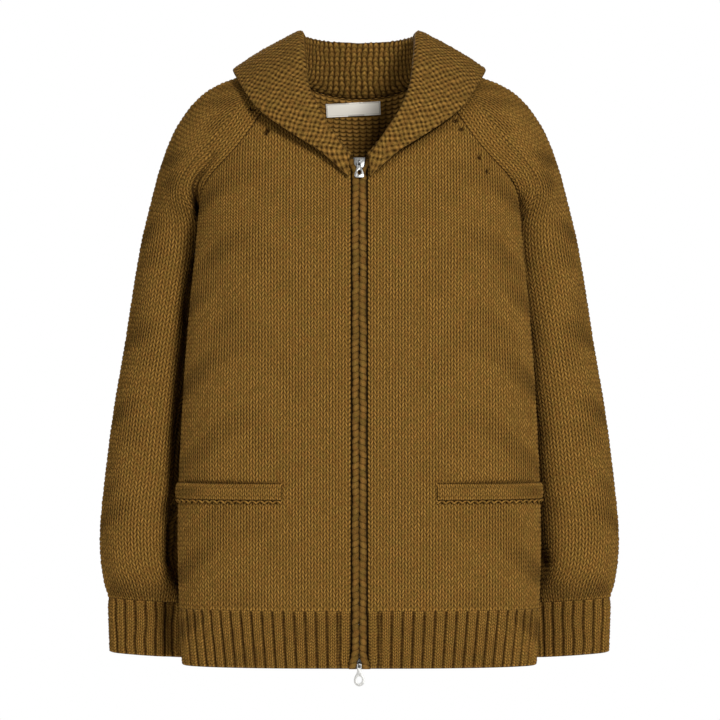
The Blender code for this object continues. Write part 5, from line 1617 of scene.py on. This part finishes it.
@dataclass
class Zip:
    """Two-way zip: twill tapes, interlocked teeth, two sliders and their pulls."""

    finishes: Finishes
    pitch: float = 0.0025       # of the teeth on one tape
    bevel: float = 0.00028
    tape_end: float = 0.0015    # how far above the hem the tapes end

    def tapes(self) -> None:
        """Each tape is a thin slab that follows the front down its inside."""
        heights = np.linspace(HEM_LEVEL + self.tape_end, ZIP_TOP - HALF_GAP, 150)
        reach = np.linspace(TAPE_INNER, TAPE_OUTER, 5)
        x = np.concatenate([reach, reach[::-1]])
        depth = np.repeat([0.0, TAPE_THICKNESS], len(reach))
        rings = np.stack(np.broadcast_arrays(x, tape_depth(heights)[:, None] + depth, heights[:, None]), -1)
        yarn = np.zeros(rings.shape[:2] + (2,))
        for side, grid in (("left", rings), ("right", mirrored(rings))):
            name = f"zip_tape_{side}_twill"
            piece = put(name, ring_mesh(name, grid, yarn), (self.finishes.tape,))
            belong(piece, "zip_tape", f"zip_tape_{side}")

    def teeth(self) -> None:
        """Every tooth is a short rounded bar with a narrower head; those of the two sides alternate."""
        low, high = SLIDER_BOTTOM + SLIDER_LENGTH * 0.42, SLIDER_TOP - SLIDER_LENGTH * 0.42
        count = int((high - low) / self.pitch * 2)
        levels = low + self.pitch / 2 * (np.arange(count) + 0.5)
        side = np.where(np.arange(count) % 2, 1.0, -1.0)[:, None, None]
        turn = np.radians(np.arange(0, 360, 60))
        reach = np.array([CHAIN_HALF_WIDTH, 0.0008, -0.0006])[:, None]
        size = np.array([0.90, 1.0, 0.6])[:, None]
        half_depth = (CHAIN_BACK - CHAIN_FRONT) / 2
        middle = tape_depth(levels)[:, None, None] + (CHAIN_FRONT + CHAIN_BACK) / 2
        bars = np.stack(np.broadcast_arrays(side * reach, middle + half_depth * size * np.cos(turn),
                                            levels[:, None, None]
                                            + side * self.pitch * 0.27 * size * np.sin(turn)), axis=-1)
        closed = np.stack([closed_rings(bar) for bar in bars])
        one = grid_triangles(closed[0], 0)
        corners = (one[None] + (np.arange(count) * closed[0].size // 3)[:, None, None]).reshape(-1, 3)
        points = closed.reshape(-1, 3)
        mesh = mesh_from("zip_teeth", points, corners, np.zeros((len(points), 2)))
        piece = put("zip_teeth", mesh, (self.finishes.metal,))
        belong(piece, "zip_metal", "zip_chain")

    def casting(self, node: str, body: str) -> None:
        """A slider or a pull from its own solid: flat faces joined, edges rounded, plated."""
        shape = bmesh.new()
        shape.from_mesh(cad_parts[node].data)
        bmesh.ops.remove_doubles(shape, verts=shape.verts, dist=0.00001)
        bmesh.ops.dissolve_limit(shape, angle_limit=math.radians(2.0), verts=shape.verts, edges=shape.edges)
        for face in shape.faces:
            face.smooth = True
        mesh = bpy.data.meshes.new(f"{node}_casting")
        shape.to_mesh(mesh)
        shape.free()
        mesh.materials.clear()
        piece = put(f"{node}_casting", mesh, (self.finishes.bright if node == "pull_bottom"
                                              else self.finishes.metal,))
        edges = piece.modifiers.new("edges", "BEVEL")
        edges.width, edges.segments, edges.limit_method = self.bevel, 2, "ANGLE"
        edges.angle_limit, edges.harden_normals = math.radians(24), True
        belong(piece, "zip_metal", node, body=body)

    def build(self) -> None:
        """Build the whole zip."""
        self.tapes()
        self.teeth()
        for node, body in (("slider_top", "garment"), ("slider_bottom", "garment"),
                           ("pull_top", "top_pull"), ("pull_bottom", "bottom_pull")):
            self.casting(node, body)


@dataclass
class Pockets:
    """Inset pockets: a welt outside, one layer of cloth inside, and a row of picked-up loops below."""

    pattern: Pattern
    finishes: Finishes
    gauge: Stockinette = Stockinette(repeat=0.0054, row=0.0044, climb=0.0046, depth=0.0014)
    bag_gauge: PurlSide = PurlSide()
    loop_drop: float = 0.0034   # how far their feet lie below the welt
    loop_height: float = 0.0028
    strand: float = 0.0012      # half thickness of its yarn
    loops: int = 17             # along the picked-up row
    lie: float = 0.0010         # how far the strand's feet lie off the front
    stand_off: float = 0.0018   # and how much further its crests do

    def area(self, low: float, high: float, lift: float, wall: float) -> tuple:
        """The stretch of the left front between two levels, moved out by lift, and where it starts.

        Args:
            low: lower level.
            high: upper level.
            lift: from the front's outer face to the new piece's own, negative for inwards.
            wall: the new piece's thickness.

        Returns:
            Its table, and how far along and across the front its corner lies.
        """
        front = self.pattern.front
        rows = np.interp(np.linspace(low, high, 40), front.points[:, MIDDLE, 2], np.arange(len(front.run)))
        parts = np.linspace(POCKET_FIRST, POCKET_LAST, 61) / FRONT_COLUMNS
        points, outwards = front.at_grid(rows[:, None], parts[None])
        points = points + outwards * lift
        widths = lengths_along(points)[:, -1]
        start = float(np.interp(rows[0], np.arange(len(front.run)), front.run))
        across = float(np.interp(rows[0], np.arange(len(front.run)), front.widths)) * parts[0]
        table = ClothTable(points, outwards, widths, np.zeros(40), run_of(points, 30), np.array(wall))
        return table, start, across

    def moved(self, start: float, across: float) -> list:
        """The front's creases, counted from a piece's own corner."""
        return [crease._replace(along=(crease.along[0] - start, crease.along[1] - start),
                                across=(crease.across[0] - across, crease.across[1] - across))
                for crease in front_creases()]

    def picked_up_row(self, name: str, sign: float) -> None:
        """A strand that waves along the welt's foot: half sines with their feet down."""
        front = self.pattern.front
        count = self.loops
        part = np.linspace(0, 1, count * 10 + 1)
        wave = np.abs(np.sin(np.pi * part * count))**0.8
        heights = WELT_BOTTOM - self.loop_drop + self.loop_height * wave
        rows = np.interp(heights, front.points[:, MIDDLE, 2], np.arange(len(front.run)))
        columns = (POCKET_FIRST + (POCKET_LAST - POCKET_FIRST) * part) / FRONT_COLUMNS
        path, outwards = front.at_grid(rows, columns)
        path = path + outwards * (self.lie + self.stand_off * wave[:, None])
        ahead = unit(np.gradient(path, axis=0))
        aside = unit(np.cross(ahead, outwards))
        turn = np.linspace(0, 2 * math.pi, 9)[:-1]
        rings = (path[:, None] + self.strand * (aside[:, None] * np.cos(turn)[:, None]
                                                + outwards[:, None] * np.sin(turn)[:, None]))
        yarn = np.stack(np.broadcast_arrays(0.25 + 0.2 * np.cos(turn)[None], part[:, None] * count + 0.5), -1)
        rings = rings if sign > 0 else mirrored(rings)
        piece = put(name, ring_mesh(name, rings, yarn), (self.finishes.knit,))
        belong(piece, "wool_knit")

    def build(self) -> None:
        """Build and declare welts, picked-up rows and bags."""
        welt, start, across = self.area(WELT_BOTTOM, WELT_TOP, SEAM_GAP + WELT_THICKNESS, WELT_THICKNESS)
        welt_creases = self.moved(start, across)
        bag, start, across = self.area(POCKET_FLOOR, WELT_TOP - 0.002, -(WALL + SEAM_GAP), POCKET_BAG)
        bag_creases = self.moved(start, across)
        for side, sign in (("left", 1.0), ("right", -1.0)):
            table, lining = (welt, bag) if sign > 0 else (welt.mirror(), bag.mirror())
            Lattice(f"pocket_welt_{side}_knit", table, self.gauge, creases=welt_creases, low_groove=0.0014,
                    high_groove=0.0014, end_groove=0.0012).build(
                        (self.finishes.knit, self.finishes.purl), "wool_knit", f"pocket_welt_{side}")
            self.picked_up_row(f"pocket_picked_up_row_{side}", sign)
            Lattice(f"pocket_bag_{side}_knit", lining, self.bag_gauge, creases=bag_creases, sink=1.0).build(
                (self.finishes.purl, self.finishes.purl), "wool_knit", f"pocket_bag_{side}")


@dataclass
class Label:
    """A blank woven label on the inside of the back, below the neck."""

    pattern: Pattern
    finishes: Finishes
    lift: float = 0.0016        # clear of the purl side's ridges
    swell: float = 0.0008

    def build(self) -> None:
        """A thin slab laid on the back's inside, a little full in its middle, with its border in the map."""
        back = self.pattern.back
        tree = skin_tree([back.points - back.outwards * WALL])
        tilt = math.radians(LABEL_TILT)
        across, up = np.meshgrid(np.linspace(-0.5, 0.5, 33), np.linspace(-0.5, 0.5, 11))
        dx, dz = across * LABEL_SIZE[0], up * LABEL_SIZE[1]
        x = LABEL_CENTRE[0] + dx * math.cos(tilt) - dz * math.sin(tilt)
        z = LABEL_CENTRE[1] + dx * math.sin(tilt) + dz * math.cos(tilt)
        hits = [tree.ray_cast(Vector((a, 0, b)), Vector((0, 1, 0)))[0].y for a, b in zip(x.ravel(), z.ravel())]
        full = np.cos(np.pi * across) * np.cos(np.pi * up)
        y = np.array(hits).reshape(x.shape) - self.lift - self.swell * full
        front = np.stack([x, y - LABEL_THICKNESS, z], axis=-1)
        rings = np.concatenate([front, np.stack([x, y, z], axis=-1)[:, ::-1]], axis=1)
        inset = np.stack([(0.5 - np.abs(across)) * LABEL_SIZE[0], (0.5 - np.abs(up)) * LABEL_SIZE[1]], -1)
        yarn = 1000 * np.concatenate([inset, inset[:, ::-1]], axis=1)
        piece = put("blank_label", ring_mesh("blank_label", rings, yarn), (self.finishes.label,))
        belong(piece, "woven_label", "label")


# ---- the stage -------------------------------------------------------
@dataclass
class Studio:
    """Camera, soft light and a pale floor."""

    distance: float = 5.0
    height: float = -0.322
    span: float = 0.828         # width of the view at the middle plane
    aside: float = 0.0008
    floor_level: float = -0.95
    floor_reach: float = 1.6
    floor_sides: int = 96
    room_light: float = 0.15    # strength of the white room on what isn't seen directly
    room_mirrored: float = 0.20     # share of the rest that shiny things mirror

    def camera(self) -> None:
        """A long lens straight in front, level, a little below the chest."""
        lens = bpy.data.cameras.new("camera")
        lens.sensor_width = 36.0
        lens.lens = lens.sensor_width * self.distance / self.span
        lens.clip_end = 50.0
        holder = linked("camera", lens)
        holder.location = (self.aside, -self.distance, self.height)
        holder.rotation_euler = (math.pi / 2, 0, 0)
        bpy.context.scene.camera = holder

    def lamp(self, name: str, place: tuple, aim: tuple, size: float, power: float) -> None:
        """A square soft lamp at a place, aimed at a point."""
        light = bpy.data.lights.new(name, "AREA")
        light.size, light.energy = size, power
        holder = linked(name, light)
        holder.location = place
        holder.rotation_euler = (Vector(aim) - Vector(place)).to_track_quat("-Z", "Y").to_euler()

    def build(self) -> None:
        """Camera, lamps, world and floor."""
        self.camera()
        self.lamp("key", (1.25, -3.1, 1.2), (0.0, 0.0, -0.30), 0.8, 126.0)
        self.lamp("fill", (-1.9, -3.0, 0.6), (0.0, 0.0, -0.35), 0.9, 34.0)
        self.lamp("back", (-0.7, 3.2, 1.1), (0.0, 0.0, -0.30), 0.9, 118.0)
        world = bpy.data.worlds.new("white room")
        bpy.context.scene.world = world
        world.use_nodes = True
        add = partial(add_node, world.node_tree)
        mirrored_room = add("Math MULTIPLY", add("LightPath", out="Is Glossy Ray"), self.room_mirrored)
        seen = add("Math MAXIMUM", add("LightPath", out="Is Camera Ray"), mirrored_room)
        strength = add("Math MULTIPLY_ADD", seen, 1 - self.room_light, self.room_light)
        feed(world.node_tree.nodes["Background"], {"Color": (1.0, 1.0, 1.0, 1.0), "Strength": strength})
        bpy.context.scene.view_settings.view_transform = "Standard"

        turn = np.linspace(0, 2 * math.pi, self.floor_sides + 1)[:-1]
        rim = np.stack([self.floor_reach * np.cos(turn), self.floor_reach * np.sin(turn),
                        np.full(self.floor_sides, self.floor_level)], axis=1)
        mesh = bpy.data.meshes.new("floor")
        mesh.from_pydata(rim.tolist(), [], [list(range(self.floor_sides))])
        paint, shader, _ = blank_material("matt white paint")
        feed(shader, {"Base Color": linear("#f4f3f1"), "Roughness": 0.9})
        mesh.materials.append(paint)
        linked("floor", mesh)


def main() -> None:
    """Build the cardigan's pieces in order."""
    logging.basicConfig(level=logging.INFO, format="%(name)s: %(message)s")
    Studio().build()
    pattern = Pattern()
    finishes = Finishes()
    Panels(pattern, finishes).build()
    Ribbing(pattern, finishes).build()
    Collar(collar_table(pattern), finishes).build()
    EdgeCords(finishes).build()
    Zip(finishes).build()
    Pockets(pattern, finishes).build()
    Label(pattern, finishes).build()


if __name__ == "__main__":
    main()
